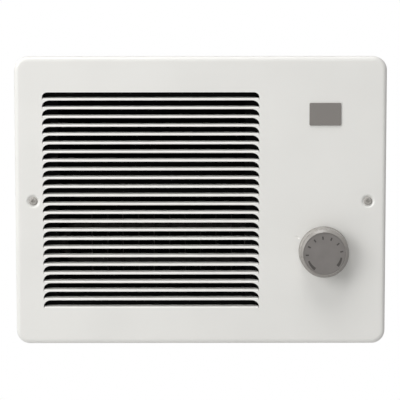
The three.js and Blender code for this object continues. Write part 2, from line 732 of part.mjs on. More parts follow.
function knobDialFace() {
  const backY = dialSeatY - SEAT;
  return rod(DIAL_RADIUS, [backY - DIAL_THICKNESS, backY], 'y', knobOrigin, 3 * ROUND);
}

function knobSpringClip() {
  const top = KNOB_Z - SPINDLE_FLAT - SEAT;
  const front = spindleTipY + SEAT;
  return block([knobX - CLIP_SPRING_WIDTH / 2, knobX + CLIP_SPRING_WIDTH / 2],
    [front, front + CLIP_SPRING_LENGTH], [top - CLIP_SPRING, top]);
}

// ---------------------------------------------------------------- can

const wrapperHalfX = canInnerX - SEAT;

function canWrapper() {
  const x = [-wrapperHalfX, wrapperHalfX];
  const line = [
    [lipFrontY, canHalf - CAN_LIP], [lipFrontY, canHalf], [canBackY, canHalf],
    [canBackY, -canHalf], [lipFrontY, -canHalf], [lipFrontY, CAN_LIP - canHalf],
  ];
  const sheet = alongX(shapeOf(sheetOutline(line, -CAN_SHEET)), ...x);
  const screwHoles = cornersOf(chassisScrewX, chassisScrewZ).map(([sx, sz]) =>
    rod(CHASSIS_SCREW_RADIUS + SEAT, [lipFrontY - PAST, lipBackY + PAST], 'y', [sx, 0, sz], SMALL_ROUND));
  const knockouts = [-1, 1].map((side) => rod(KNOCKOUT_RADIUS,
    [side * canHalf - 2 * CAN_SHEET, side * canHalf + 2 * CAN_SHEET], 'z', [knockoutX, KNOCKOUT_Y, 0]));
  const groundHole = rod(GROUND_SCREW_RADIUS + SEAT, [canInnerBackY - PAST, canBackY + PAST], 'y',
    [groundX, 0, groundZ], SMALL_ROUND);
  return cut(sheet, screwHoles, knockouts, groundHole);
}

function cornersOf(x, z) {
  return [[-x, z], [x, z], [-x, -z], [x, -z]];
}

// One end of the can: a plate with three inward flanges behind the wrapper, and an ear in front.
function canEnd(side) {
  const plateX = [canInnerX, canSideX];
  const plate = block(plateX, [lipFrontY, flangeBackY + CAN_SHEET],
    [-(flangeHalf + CAN_SHEET), flangeHalf + CAN_SHEET]);
  const flangeX = [canInnerX - CAN_FLANGE, canSideX];
  const flangeY = [lipBackY + SEAT, flangeBackY + CAN_SHEET];
  const flanges = [
    block(flangeX, flangeY, [flangeHalf, flangeHalf + CAN_SHEET]),
    block(flangeX, flangeY, [-flangeHalf - CAN_SHEET, -flangeHalf]),
    block(flangeX, [flangeBackY, flangeBackY + CAN_SHEET], [-flangeHalf, flangeHalf]),
  ];
  const ear = block([canInnerX, canSideX + EAR_WIDTH], [lipFrontY, lipBackY],
    [-EAR_HEIGHT / 2, EAR_HEIGHT / 2]);
  const earHole = rod(GRILLE_SCREW_RADIUS + SEAT, [lipFrontY - PAST, lipBackY + PAST], 'y',
    [grilleScrewX, 0, 0]);
  const nailHoles = [-nailHoleZ, nailHoleZ].map((z) =>
    rod(NAIL_HOLE_RADIUS, [canInnerX - PAST, canSideX + PAST], 'x', [0, NAIL_HOLE_Y, z], SMALL_ROUND));
  return sideOf(cut(join(plate, flanges, ear), earHole, nailHoles), side);
}

function knockoutBlank() {
  const radius = KNOCKOUT_RADIUS - SEAT;
  return rod(radius, [-canHalf, -canInnerHalf], 'z', [knockoutX, KNOCKOUT_Y, 0]);
}

// ---------------------------------------------------------------- wiring compartment

function wiringPartition() {
  const frontY = lipBackY + SEAT;
  const backY = flangeBackY - SEAT;
  const wall = block([wiringX, wiringX + WIRING_SHEET], [frontY, backY],
    [WIRING_Z, canInnerHalf - SEAT]);
  const floor = block([wiringX, canInnerX - SEAT], [frontY, backY], [WIRING_Z, WIRING_Z + WIRING_SHEET]);
  const hole = rod(GROMMET_RADIUS, [WIRING_Z - PAST, WIRING_Z + WIRING_SHEET + PAST], 'z',
    [grommetX, GROMMET_Y, 0]);
  return cut(join(wall, floor), hole);
}

function leadGrommet() {
  const waist = GROMMET_RADIUS - SEAT;
  const lip = GROMMET_RADIUS + GROMMET_LIP;
  const bore = waist - GROMMET_WALL;
  const lower = WIRING_Z - SEAT;
  const upper = WIRING_Z + WIRING_SHEET + SEAT;
  const profile = [
    [bore, lower - GROMMET_WALL], [lip, lower - GROMMET_WALL], [lip, lower], [waist, lower],
    [waist, upper], [lip, upper], [lip, upper + GROMMET_WALL], [bore, upper + GROMMET_WALL],
    [bore, lower - GROMMET_WALL],
  ];
  return turned(profile, 'z', [grommetX, GROMMET_Y, 0], SMALL_ROUND);
}

function groundScrew() {
  // The head faces forward, towards the hand that wires the heater.
  return screwAlongY(groundX, groundZ, canInnerBackY - SEAT, GROUND_SCREW_RADIUS,
    GROUND_HEAD_RADIUS, GROUND_HEAD, canBackY);
}

// ---------------------------------------------------------------- chassis

function heaterChassis() {
  const y = [chassisFrontY, chassisBackY];
  const plate = block([-chassisHalfX, chassisHalfX], y, [-chassisHalfZ, chassisHalfZ]);
  const windowX = [blowerLeft + END_PLATE_MARGIN, blowerRight - END_PLATE_MARGIN];
  const cutY = [chassisFrontY - PAST, chassisBackY + PAST];
  const intake = block(windowX, cutY, [DIVIDER_Z + DUCT_FLANGE + BLOWER_SHEET, DUCT_HALF]);
  const outlet = block(windowX, cutY, [-DUCT_HALF, DIVIDER_Z - BLOWER_SHEET]);
  const bushingHole = rod(BUSHING_RADIUS + SEAT, cutY, 'y', knobOrigin);
  const screwHoles = cornersOf(chassisScrewX, chassisScrewZ).map(([x, z]) =>
    rod(CHASSIS_SCREW_RADIUS + SEAT, cutY, 'y', [x, 0, z], SMALL_ROUND));
  return cut(plate, intake, outlet, bushingHole, screwHoles);
}

function chassisScrew(x, z) {
  const seatY = chassisFrontY - SEAT;
  return screwAlongY(x, z, seatY, CHASSIS_SCREW_RADIUS, CHASSIS_SCREW_HEAD_RADIUS,
    CHASSIS_SCREW_HEAD, seatY + CHASSIS_SCREW_LENGTH);
}

// ---------------------------------------------------------------- blower

const ductFrontY = behindChassisY;

// The inner face of the rear casing, from the top flange round the wheel to the bottom flange.
function scrollLine() {
  const spiral = [];
  const steps = 10;
  for (let i = 0; i <= steps; i += 1) {
    const share = i / steps;
    const degrees = SCROLL_START_DEG + (SCROLL_END_DEG - SCROLL_START_DEG) * share;
    const radius = WHEEL_RADIUS + WHEEL_RUN_GAP + SCROLL_GROWTH * share;
    const angle = THREE.MathUtils.degToRad(degrees);
    spiral.push([wheelY + radius * Math.cos(angle), WHEEL_Z + radius * Math.sin(angle)]);
  }
  const [lastY, lastZ] = spiral[spiral.length - 1];
  const slope = THREE.MathUtils.degToRad(SCROLL_END_DEG);
  const bendY = lastY + SCROLL_RUN * Math.sin(slope);
  const bendZ = lastZ - SCROLL_RUN * Math.cos(slope);
  const curve = new THREE.QuadraticBezierCurve(
    new THREE.Vector2(lastY, lastZ), new THREE.Vector2(bendY, bendZ),
    new THREE.Vector2(ductFrontY, -DUCT_HALF));
  const duct = curve.getPoints(8).slice(1).map((p) => [p.x, p.y]);
  return { spiral, duct };
}

function scrollOutline() {
  const { spiral, duct } = scrollLine();
  const [startY] = spiral[0];
  const flange = DUCT_HALF + DUCT_FLANGE;
  return sheetOutline([
    [ductFrontY, flange], [ductFrontY, DUCT_HALF], [startY + BLOWER_SHEET, DUCT_HALF],
    ...spiral, ...duct.slice(0, -1), [ductFrontY + BLOWER_SHEET, -DUCT_HALF],
    [ductFrontY, -DUCT_HALF], [ductFrontY, -flange],
  ], BLOWER_SHEET);
}

function blowerScroll() {
  return alongX(shapeOf(scrollOutline()), innerLeft + SEAT, innerRight - SEAT);
}

// The vortex wall between intake and outlet, from the chassis to a lip close to the wheel.
function blowerCutoff() {
  const near = WHEEL_RADIUS + WHEEL_RUN_GAP;
  const lip = [CUTOFF_HIGH_DEG, CUTOFF_LOW_DEG].map((degrees) => {
    const angle = THREE.MathUtils.degToRad(degrees);
    return [wheelY + near * Math.cos(angle), WHEEL_Z + near * Math.sin(angle)];
  });
  const line = [
    [ductFrontY, DIVIDER_Z + DUCT_FLANGE], [ductFrontY, DIVIDER_Z],
    [wheelY - WHEEL_RADIUS - DUCT_FLANGE, DIVIDER_Z + BLOWER_SHEET], lip[1], lip[0],
    [wheelY - near - DUCT_FLANGE, WHEEL_Z - WHEEL_RADIUS / 4],
  ];
  return alongX(shapeOf(sheetOutline(line, BLOWER_SHEET)), innerLeft + SEAT, innerRight - SEAT);
}

// One side plate of the blower: it follows the casing a little outside it, with a flange in front.
function blowerEnd(x0, holeRadius, flangeX) {
  const { spiral, duct } = scrollLine();
  const line = [[spiral[0][0], DUCT_HALF], ...spiral.slice(2), ...duct];
  const wide = sheetOutline(line, END_PLATE_MARGIN).slice(line.length).reverse();
  const top = DUCT_HALF + DUCT_FLANGE;
  const outline = [[ductFrontY, top], [wheelY, top], ...wide.slice(1, -1), [ductFrontY, -top]];
  const plate = alongX(shapeOf(outline), x0, x0 + BLOWER_SHEET);
  const flange = block(flangeX, [ductFrontY, ductFrontY + BLOWER_SHEET], [-top, top]);
  const hole = rod(holeRadius, [x0 - PAST, x0 + BLOWER_SHEET + PAST], 'x', wheelOrigin);
  return cut(join(plate, flange), hole);
}

const rubberRadius = AXLE_RADIUS + RUNNING + BUSH_WALL + SEAT + RUBBER_WALL;

function blowerEndLeft() {
  return blowerEnd(blowerLeft, rubberRadius + SEAT,
    [blowerLeft - BLOWER_FLANGE, blowerLeft + BLOWER_SHEET]);
}

function blowerEndRight() {
  const plate = blowerEnd(innerRight, BOSS_RADIUS + SEAT * 2, [innerRight, blowerRight + BLOWER_FLANGE]);
  const across = [innerRight - PAST, blowerRight + PAST];
  const bushingHoles = elementZ().map((z) =>
    rod(ELEMENT_RADIUS + SEAT + BUSHING_WALL + SEAT, across, 'x', [0, ELEMENT_Y, z]));
  const limitHole = rod(LIMIT_CAP_RADIUS + SEAT, across, 'x', [0, ELEMENT_Y, ELEMENT_Z]);
  return cut(plate, bushingHoles, limitHole);
}

// Forward-curved blades between two end discs, open through the middle.
function blowerWheel() {
  const blades = Array.from({ length: BLADE_COUNT }, (_, i) => {
    const line = [0, 1, 2, 3].map((k) => {
      const share = k / 3;
      const radius = WHEEL_HOLLOW_RADIUS + (WHEEL_RADIUS - BLADE_THICKNESS - WHEEL_HOLLOW_RADIUS) * share;
      const sweep = THREE.MathUtils.degToRad(BLADE_SWEEP_DEG * share * share);
      const angle = (i / BLADE_COUNT) * 2 * Math.PI + sweep;
      return [wheelY + radius * Math.cos(angle), WHEEL_Z + radius * Math.sin(angle)];
    });
    return alongX(shapeOf(sheetOutline(line, BLADE_THICKNESS)), wheelLeft + WHEEL_DISC / 2,
      wheelRight - WHEEL_DISC / 2);
  });
  const leftDisc = rod(WHEEL_RADIUS, [wheelLeft, wheelLeft + WHEEL_DISC], 'x', wheelOrigin, ROUND);
  const rightDisc = rod(WHEEL_RADIUS, [wheelRight - WHEEL_DISC, wheelRight], 'x', wheelOrigin, ROUND);
  const leftHub = rod(WHEEL_HUB_RADIUS, [wheelLeft, wheelLeft + WHEEL_HUB_LENGTH], 'x', wheelOrigin);
  const rightHub = rod(WHEEL_HUB_RADIUS, [wheelRight - WHEEL_HUB_LENGTH, wheelRight], 'x', wheelOrigin);
  const leftBore = rod(AXLE_RADIUS + SEAT, [wheelLeft - PAST, wheelLeft + WHEEL_HUB_LENGTH - WHEEL_DISC],
    'x', wheelOrigin, SMALL_ROUND);
  const rightBore = rod(SHAFT_RADIUS + SEAT, [wheelRight - SHAFT_IN_HUB, wheelRight + PAST],
    'x', wheelOrigin, SMALL_ROUND);
  return cut(join(leftDisc, rightDisc, leftHub, rightHub, blades), leftBore, rightBore);
}

const axleInnerX = wheelLeft + WHEEL_HUB_LENGTH - WHEEL_DISC - SEAT;

function idleAxle() {
  return rod(AXLE_RADIUS, [axleInnerX - AXLE_LENGTH, axleInnerX], 'x', wheelOrigin, SMALL_ROUND);
}

const plateMidX = blowerLeft + BLOWER_SHEET / 2;

function idleBearing() {
  const bore = AXLE_RADIUS + RUNNING;
  return ring(bore, bore + BUSH_WALL, [plateMidX - BUSH_LENGTH / 2, plateMidX + BUSH_LENGTH / 2],
    'x', wheelOrigin, SMALL_ROUND);
}

function bearingGrommet() {
  const bore = AXLE_RADIUS + RUNNING + BUSH_WALL + SEAT;
  const waist = BLOWER_SHEET / 2 + SEAT;
  const half = BUSH_LENGTH / 2 - SEAT;
  const lip = rubberRadius + RUBBER_LIP;
  const profile = [
    [bore, -half], [lip, -half], [lip, -waist], [rubberRadius, -waist], [rubberRadius, waist],
    [lip, waist], [lip, half], [bore, half], [bore, -half],
  ];
  return turned(profile, 'x', [plateMidX, wheelY, WHEEL_Z], SMALL_ROUND);
}

// ---------------------------------------------------------------- motor

const innerBracketX = [stackLeft - SEAT - BRACKET_THICKNESS, stackLeft - SEAT];
const outerBracketX = [stackRight + SEAT, stackRight + SEAT + BRACKET_THICKNESS];
const shaftEndX = outerBracketX[1] + BOSS_LENGTH + SHAFT_OVERHANG;
const motorScrewY = [wheelY - MOTOR_SCREW_OFFSET, wheelY + MOTOR_SCREW_OFFSET];

function motorShaft() {
  const startX = wheelRight - SHAFT_IN_HUB + SEAT;
  return rod(SHAFT_RADIUS, [startX, shaftEndX], 'x', wheelOrigin, SMALL_ROUND);
}

function motorRotor() {
  const inner = SHAFT_RADIUS + SEAT;
  return ring(inner, ROTOR_RADIUS, [stackLeft, stackRight], 'x', wheelOrigin);
}

// A C-frame of laminations: two legs, a rotor bore above and a coil leg below.
function motorStator() {
  const x = [stackLeft, stackRight];
  const body = block(x, [wheelY - STACK_HALF_WIDTH, wheelY + STACK_HALF_WIDTH],
    [WHEEL_Z - STACK_BOTTOM, WHEEL_Z + STACK_TOP]);
  const across = [stackLeft - PAST, stackRight + PAST];
  const windowHalf = STACK_HALF_WIDTH - STACK_LEG;
  const windowFloor = WHEEL_Z - STACK_BOTTOM + STACK_LEG;
  const window = block(across, [wheelY - windowHalf, wheelY + windowHalf],
    [windowFloor, windowFloor + STACK_WINDOW]);
  const bore = rod(ROTOR_RADIUS + AIR_GAP, across, 'x', wheelOrigin, 2 * ROUND);
  const screwHoles = motorScrewY.map((y) =>
    rod(MOTOR_SCREW_RADIUS + SEAT, across, 'x', [0, y, WHEEL_Z], SMALL_ROUND));
  return cut(body, window, bore, screwHoles);
}

function motorCoil() {
  const legZ = [WHEEL_Z - STACK_BOTTOM, WHEEL_Z - STACK_BOTTOM + STACK_LEG];
  const midX = (stackLeft + stackRight) / 2;
  const midZ = (legZ[0] + legZ[1]) / 2;
  const layer = (grow, halfLength) => block(
    [stackLeft - SEAT - grow, stackRight + SEAT + grow], [wheelY - halfLength, wheelY + halfLength],
    [legZ[0] - SEAT - grow, legZ[1] + SEAT + grow]);
  const winding = layer(COIL_THICKNESS - COIL_FLANGE, COIL_LENGTH / 2);
  const flange = layer(COIL_THICKNESS, COIL_LENGTH / 2);
  const groove = layer(COIL_THICKNESS + PAST, COIL_LENGTH / 2 - COIL_FLANGE);
  const hollow = layer(0, COIL_LENGTH);
  const tabs = motorTabY().map((y) => block([midX - TAB_WIDTH / 2, midX + TAB_WIDTH / 2],
    [y - TAB_THICKNESS / 2, y + TAB_THICKNESS / 2], [coilBottomZ() - TAB_LENGTH, midZ]));
  return cut(join(winding, cut(flange, groove), tabs), hollow);
}

function coilBottomZ() {
  return WHEEL_Z - STACK_BOTTOM - SEAT - COIL_THICKNESS;
}

function motorTabY() {
  const offset = COIL_LENGTH / 2 - COIL_FLANGE / 2;
  return [wheelY - offset, wheelY + offset];
}

// A bearing bar across the laminations, with a boss round the shaft.
function motorBracket(barX, bossX, feetX) {
  const bar = block(barX, [wheelY - STACK_HALF_WIDTH, wheelY + STACK_HALF_WIDTH],
    [WHEEL_Z - BRACKET_HEIGHT / 2, WHEEL_Z + BRACKET_HEIGHT / 2]);
  const boss = rod(BOSS_RADIUS, bossX, 'x', wheelOrigin);
  const feet = feetX ? [-1, 1].map((side) => block(feetX,
    [wheelY + side * STACK_HALF_WIDTH, wheelY + side * (STACK_HALF_WIDTH - MOTOR_FOOT_WIDTH)],
    [WHEEL_Z - BRACKET_HEIGHT / 2, WHEEL_Z + BRACKET_HEIGHT / 2])) : [];
  const across = [blowerRight, outerBracketX[1] + BOSS_LENGTH + PAST];
  const bore = rod(SHAFT_RADIUS + RUNNING, across, 'x', wheelOrigin, SMALL_ROUND);
  const screwHoles = motorScrewY.map((y) =>
    rod(MOTOR_SCREW_RADIUS + SEAT, across, 'x', [0, y, WHEEL_Z], SMALL_ROUND));
  return cut(join(bar, boss, feet), bore, screwHoles);
}

function motorBracketInner() {
  return motorBracket(innerBracketX, [innerBracketX[0] - BOSS_LENGTH, innerBracketX[1]],
    [blowerRight + SEAT, innerBracketX[1]]);
}

function motorBracketOuter() {
  return motorBracket(outerBracketX, [outerBracketX[0], outerBracketX[1] + BOSS_LENGTH], null);
}

function motorScrew(y) {
  const seatX = outerBracketX[1] + SEAT;
  const tipX = blowerRight + 2 * SEAT;
  const profile = [
    [0, tipX], [MOTOR_SCREW_RADIUS, tipX], [MOTOR_SCREW_RADIUS, seatX],
    [MOTOR_SCREW_HEAD_RADIUS, seatX], [MOTOR_SCREW_HEAD_RADIUS, seatX + MOTOR_SCREW_HEAD],
    [0, seatX + MOTOR_SCREW_HEAD],
  ];
  const reach = MOTOR_SCREW_HEAD_RADIUS * 2;
  const slot = block([seatX + MOTOR_SCREW_HEAD / 2, seatX + MOTOR_SCREW_HEAD + PAST],
    [y - reach, y + reach], [WHEEL_Z - DRIVE_SLOT / 2, WHEEL_Z + DRIVE_SLOT / 2]);
  return cut(turned(profile, 'x', [0, y, WHEEL_Z], SMALL_ROUND), slot);
}

// ---------------------------------------------------------------- heating element

function elementZ() {
  return [ELEMENT_Z + ELEMENT_SPACING / 2, ELEMENT_Z - ELEMENT_SPACING / 2];
}

const sheathEndX = blowerRight + SHEATH_OVERHANG;
const elementBendX = innerLeft + ELEMENT_BEND_INSET;
const finFirstX = elementBendX + FIN_START_GAP;
const finLastX = innerRight - FIN_END_GAP;
const finPitch = (finLastX - finFirstX) / (FIN_COUNT - 1);

// A hairpin of sheathed tube, with a seat for a terminal pin in each end.
function elementSheath() {
  const [upper, lower] = elementZ();
  const bend = ELEMENT_SPACING / 2;
  const runs = [upper, lower].map((z) =>
    rod(ELEMENT_RADIUS, [elementBendX - SEAT, sheathEndX], 'x', [0, ELEMENT_Y, z], SMALL_ROUND));
  const arc = new THREE.TorusGeometry(bend, ELEMENT_RADIUS, SMALL_ROUND, 2 * SMALL_ROUND);
  const whole = solidOf(arc.rotateX(Math.PI / 2).translate(elementBendX, ELEMENT_Y, ELEMENT_Z));
  const reach = bend + ELEMENT_RADIUS + PAST;
  const half = whole.intersect(block([elementBendX - reach, elementBendX],
    [ELEMENT_Y - reach, ELEMENT_Y + reach], [ELEMENT_Z - reach, ELEMENT_Z + reach]));
  const seats = [upper, lower].map((z) =>
    rod(PIN_RADIUS + SEAT, [sheathEndX - PIN_SEAT - SEAT, sheathEndX + PAST], 'x',
      [0, ELEMENT_Y, z], SMALL_ROUND));
  return cut(join(half, runs), seats);
}

// Fins joined by the collars that space them along the two runs of the hairpin.
function elementFins() {
  const halfHeight = ELEMENT_SPACING / 2 + FIN_MARGIN;
  const fins = Array.from({ length: FIN_COUNT }, (_, i) => {
    const x = finFirstX + i * finPitch;
    return block([x - FIN_THICKNESS / 2, x + FIN_THICKNESS / 2],
      [ELEMENT_Y - FIN_DEPTH / 2, ELEMENT_Y + FIN_DEPTH / 2],
      [ELEMENT_Z - halfHeight, ELEMENT_Z + halfHeight]);
  });
  const bore = ELEMENT_RADIUS + SEAT;
  const span = [finFirstX - finPitch / 4, finLastX + finPitch / 4];
  const collars = elementZ().map((z) =>
    rod(bore + COLLAR_WALL, span, 'x', [0, ELEMENT_Y, z], SMALL_ROUND));
  const bores = elementZ().map((z) =>
    rod(bore, [span[0] - PAST, span[1] + PAST], 'x', [0, ELEMENT_Y, z], SMALL_ROUND));
  return cut(join(fins, collars), bores);
}

// A bracket on the left side plate, with two jaws round the hairpin's bend.
function elementClip() {
  const plateX = innerLeft + SEAT;
  const grip = ELEMENT_RADIUS + SEAT;
  const foot = block([plateX, plateX + CLIP_SHEET],
    [ELEMENT_Y - grip - CLIP_GRIP, ELEMENT_Y + grip + CLIP_GRIP],
    [ELEMENT_Z - CLIP_FOOT / 2, ELEMENT_Z + CLIP_FOOT / 2]);
  const tipX = elementBendX - ELEMENT_SPACING / 2 + ELEMENT_RADIUS;
  const jaws = [-1, 1].map((side) => block([plateX, tipX],
    [ELEMENT_Y + side * grip, ELEMENT_Y + side * (grip + CLIP_SHEET)],
    [ELEMENT_Z - CLIP_WIDTH / 2, ELEMENT_Z + CLIP_WIDTH / 2]));
  return join(foot, jaws);
}

function elementBushing(z) {
  const bore = ELEMENT_RADIUS + SEAT;
  const barrel = bore + BUSHING_WALL;
  const flange = barrel + BUSHING_FLANGE;
  const flangeX = blowerRight + SEAT;
  const profile = [
    [bore, innerRight - BUSHING_FLANGE_LENGTH], [barrel, innerRight - BUSHING_FLANGE_LENGTH],
    [barrel, flangeX], [flange, flangeX], [flange, flangeX + BUSHING_FLANGE_LENGTH],
    [bore, flangeX + BUSHING_FLANGE_LENGTH], [bore, innerRight - BUSHING_FLANGE_LENGTH],
  ];
  return turned(profile, 'x', [0, ELEMENT_Y, z], SMALL_ROUND);
}

const pinTipX = sheathEndX + PIN_LENGTH;

function elementTerminal(z) {
  return rod(PIN_RADIUS, [sheathEndX - PIN_SEAT, pinTipX], 'x', [0, ELEMENT_Y, z], SMALL_ROUND);
}

const limitSeatX = blowerRight + SEAT;
const limitBodyX = limitSeatX + CLIP_SHEET + LIMIT_BODY_LENGTH;
const limitTabX = limitBodyX + TAB_LENGTH;
const limitTabY = [ELEMENT_Y - LIMIT_TAB_OFFSET, ELEMENT_Y + LIMIT_TAB_OFFSET];

function limitThermostat() {
  const origin = [0, ELEMENT_Y, ELEMENT_Z];
  const cap = rod(LIMIT_CAP_RADIUS, [limitSeatX - LIMIT_CAP_LENGTH, limitSeatX + SEAT], 'x', origin);
  const ears = block([limitSeatX, limitSeatX + CLIP_SHEET],
    [ELEMENT_Y - LIMIT_EAR / 2, ELEMENT_Y + LIMIT_EAR / 2],
    [ELEMENT_Z - LIMIT_EAR_HEIGHT / 2, ELEMENT_Z + LIMIT_EAR_HEIGHT / 2]);
  const body = rod(LIMIT_BODY_RADIUS, [limitSeatX + CLIP_SHEET - SEAT, limitBodyX], 'x', origin);
  const tabs = limitTabY.map((y) => block([limitBodyX - SEAT, limitTabX],
    [y - TAB_THICKNESS / 2, y + TAB_THICKNESS / 2], [ELEMENT_Z - TAB_WIDTH / 2, ELEMENT_Z + TAB_WIDTH / 2]));
  return join(cap, ears, body, tabs);
}

// ---------------------------------------------------------------- room thermostat

const frameBackY = behindChassisY + CONTROL_SHEET;
const controlBackY = behindChassisY + CONTROL_DEPTH;
const baseFrontY = controlBackY - BASE_THICKNESS;
const controlLeft = knobX - CONTROL_WIDTH / 2;
const controlRight = knobX + CONTROL_WIDTH / 2;
const controlLow = KNOB_Z - CONTROL_HEIGHT / 2;
const controlHigh = KNOB_Z + CONTROL_HEIGHT / 2;
const camBackY = frameBackY + SEAT;
const camStart = -KNOB_TURN_DOWN_DEG - CAM_MARGIN_DEG;
const camEnd = KNOB_TURN_UP_DEG + CAM_MARGIN_DEG;
const camMidRadius = (CAM_INNER_RADIUS + CAM_OUTER_RADIUS) / 2;
const pivotX = controlLeft + ARM_PIVOT_INSET;
const followerX = knobX + camMidRadius;
const followerReach = followerX - pivotX;
const armUpAngle = (CAM_SLOPE_PER_DEG * KNOB_TURN_UP_DEG) / followerReach;
const pivotY = behindChassisY + ARM_PIVOT_Y;
const armBackY = pivotY + ARM_THICKNESS / 2;
const armFrontY = pivotY - ARM_THICKNESS / 2;
const contactX = pivotX + CONTACT_FROM_PIVOT;
const contactFaceY = armBackY + CONTACT_HEIGHT;
const fixedContactY = contactFaceY + CONTACT_FROM_PIVOT * Math.tan(armUpAngle) + CAM_CLEARANCE;

// Height of the cam's face above its back, by angle round the spindle.
function camHeight(degrees) {
  const wrapped = ((degrees - camStart) % 360 + 360) % 360 + camStart;
  const top = CAM_LOW + CAM_SLOPE_PER_DEG * (camEnd - camStart);
  if (wrapped <= camEnd) return CAM_LOW + CAM_SLOPE_PER_DEG * (wrapped - camStart);
  const share = (wrapped - camEnd) / (360 - camEnd + camStart);
  return top + (CAM_LOW - top) * share;
}

// A ring whose back face climbs steadily round the spindle and drops again in the rest of the turn.
function camRing() {
  const rows = [];
  const inner = SPINDLE_RADIUS - SEAT;
  for (let i = 0; i < CAM_STEPS; i += 1) {
    const degrees = camStart + (i / CAM_STEPS) * 360;
    const angle = THREE.MathUtils.degToRad(degrees);
    const height = camBackY + camHeight(degrees);
    for (const [r, y] of [[inner, camBackY], [CAM_OUTER_RADIUS, camBackY], [CAM_OUTER_RADIUS, height],
      [inner, height]]) {
      rows.push(knobX + r * Math.cos(angle), y, KNOB_Z + r * Math.sin(angle));
    }
  }
  const index = [];
  for (let i = 0; i < CAM_STEPS; i += 1) {
    const here = 4 * i;
    const next = 4 * ((i + 1) % CAM_STEPS);
    for (let k = 0; k < 4; k += 1) {
      const m = (k + 1) % 4;
      index.push(here + k, next + k, next + m, here + k, next + m, here + m);
    }
  }
  const geometry = new THREE.BufferGeometry();
  geometry.setAttribute('position', new THREE.Float32BufferAttribute(rows, 3));
  geometry.setIndex(index);
  return solidOf(geometry);
}

function thermostatSpindle() {
  const tailY = camBackY + CAM_LOW;
  const shaft = rod(SPINDLE_RADIUS, [spindleTipY, tailY], 'y', knobOrigin);
  const flatEndY = faceY + PANEL_SHEET;
  const flat = block([knobX - 2 * SPINDLE_RADIUS, knobX + 2 * SPINDLE_RADIUS],
    [spindleTipY - PAST, flatEndY], [KNOB_Z - 2 * SPINDLE_RADIUS, KNOB_Z - SPINDLE_FLAT]);
  return join(cut(shaft, flat), camRing());
}

// The thermostat's steel frame: a face plate with the threaded bushing, and two side walls.
function thermostatFrame() {
  const plate = block([controlLeft, controlRight], [behindChassisY, frameBackY], [controlLow, controlHigh]);
  const walls = [[controlLow, controlLow + CONTROL_SHEET], [controlHigh - CONTROL_SHEET, controlHigh]]
    .map((z) => block([controlLeft, controlRight], [behindChassisY, controlBackY], z));
  const bushing = rod(BUSHING_RADIUS, [behindChassisY - BUSHING_LENGTH, behindChassisY + SEAT],
    'y', knobOrigin);
  const bore = rod(SPINDLE_RADIUS + RUNNING, [behindChassisY - BUSHING_LENGTH - PAST, frameBackY + PAST],
    'y', knobOrigin);
  const pinHole = rod(PIVOT_PIN_RADIUS + SEAT, [controlLow - PAST, controlHigh + PAST], 'z',
    [pivotX, pivotY, 0], SMALL_ROUND);
  return cut(join(plate, walls, bushing), bore, pinHole);
}

function thermostatNut() {
  const backY = chassisFrontY - SEAT;
  const corner = NUT_ACROSS_FLATS / Math.sqrt(3);
  const hexagon = rod(corner, [backY - NUT_THICKNESS, backY], 'y', knobOrigin, 6);
  const bore = rod(BUSHING_RADIUS + SEAT, [backY - NUT_THICKNESS - PAST, backY + PAST], 'y', knobOrigin);
  return cut(hexagon, bore);
}

const terminalBoxes = {
  line: [pivotX + ARM_BARREL_RADIUS, pivotX + ARM_BARREL_RADIUS + TERMINAL_WIDTH],
  load: [contactX - TERMINAL_WIDTH / 2, contactX + TERMINAL_WIDTH / 2],
};
const terminalMidZ = KNOB_Z + TERMINAL_RISE;
const terminalZ = [terminalMidZ - TAB_THICKNESS / 2, terminalMidZ + TAB_THICKNESS / 2];
const terminalTipY = controlBackY + TERMINAL_LENGTH;

function thermostatBase() {
  const z = [controlLow + CONTROL_SHEET + SEAT, controlHigh - CONTROL_SHEET - SEAT];
  const body = block([controlLeft, controlRight], [baseFrontY, controlBackY], z);
  const slots = Object.values(terminalBoxes).map(([x0, x1]) =>
    block([x0 - SEAT, x1 + SEAT], [baseFrontY - PAST, controlBackY + PAST],
      [terminalZ[0] - SEAT, terminalZ[1] + SEAT]));
  return cut(body, slots);
}

// The moving strip: a barrel on the pivot pin, a follower on the cam and a contact at the free end.
function contactArm() {
  const strip = block([pivotX, pivotX + ARM_LENGTH], [armFrontY, armBackY],
    [KNOB_Z - ARM_WIDTH / 2, KNOB_Z + ARM_WIDTH / 2]);
  const barrel = rod(ARM_BARREL_RADIUS, [-ARM_BARREL_LENGTH / 2, ARM_BARREL_LENGTH / 2], 'z',
    [pivotX, pivotY, KNOB_Z]);
  const tipY = camBackY + camHeight(0) + CAM_CLEARANCE;
  const follower = rod(FOLLOWER_RADIUS, [tipY, armFrontY + SEAT], 'y', [followerX, 0, KNOB_Z], SMALL_ROUND);
  const contact = rod(CONTACT_RADIUS, [armBackY - SEAT, contactFaceY], 'y',
    [contactX, 0, KNOB_Z], SMALL_ROUND);
  const bore = rod(PIVOT_PIN_RADIUS + RUNNING, [-ARM_BARREL_LENGTH, ARM_BARREL_LENGTH], 'z',
    [pivotX, pivotY, KNOB_Z], SMALL_ROUND);
  return cut(join(strip, barrel, follower, contact), bore);
}

function armPivotPin() {
  return rod(PIVOT_PIN_RADIUS, [controlLow, controlHigh], 'z', [pivotX, pivotY, 0], SMALL_ROUND);
}

function terminalLine() {
  const [x0, x1] = terminalBoxes.line;
  const tab = block([x0, x1], [baseFrontY - TERMINAL_FOOT, terminalTipY], terminalZ);
  const foot = block([x0, x1], [baseFrontY - TERMINAL_FOOT, baseFrontY - SEAT],
    [terminalZ[0] - TERMINAL_WIDTH, terminalZ[1]]);
  return join(tab, foot);
}

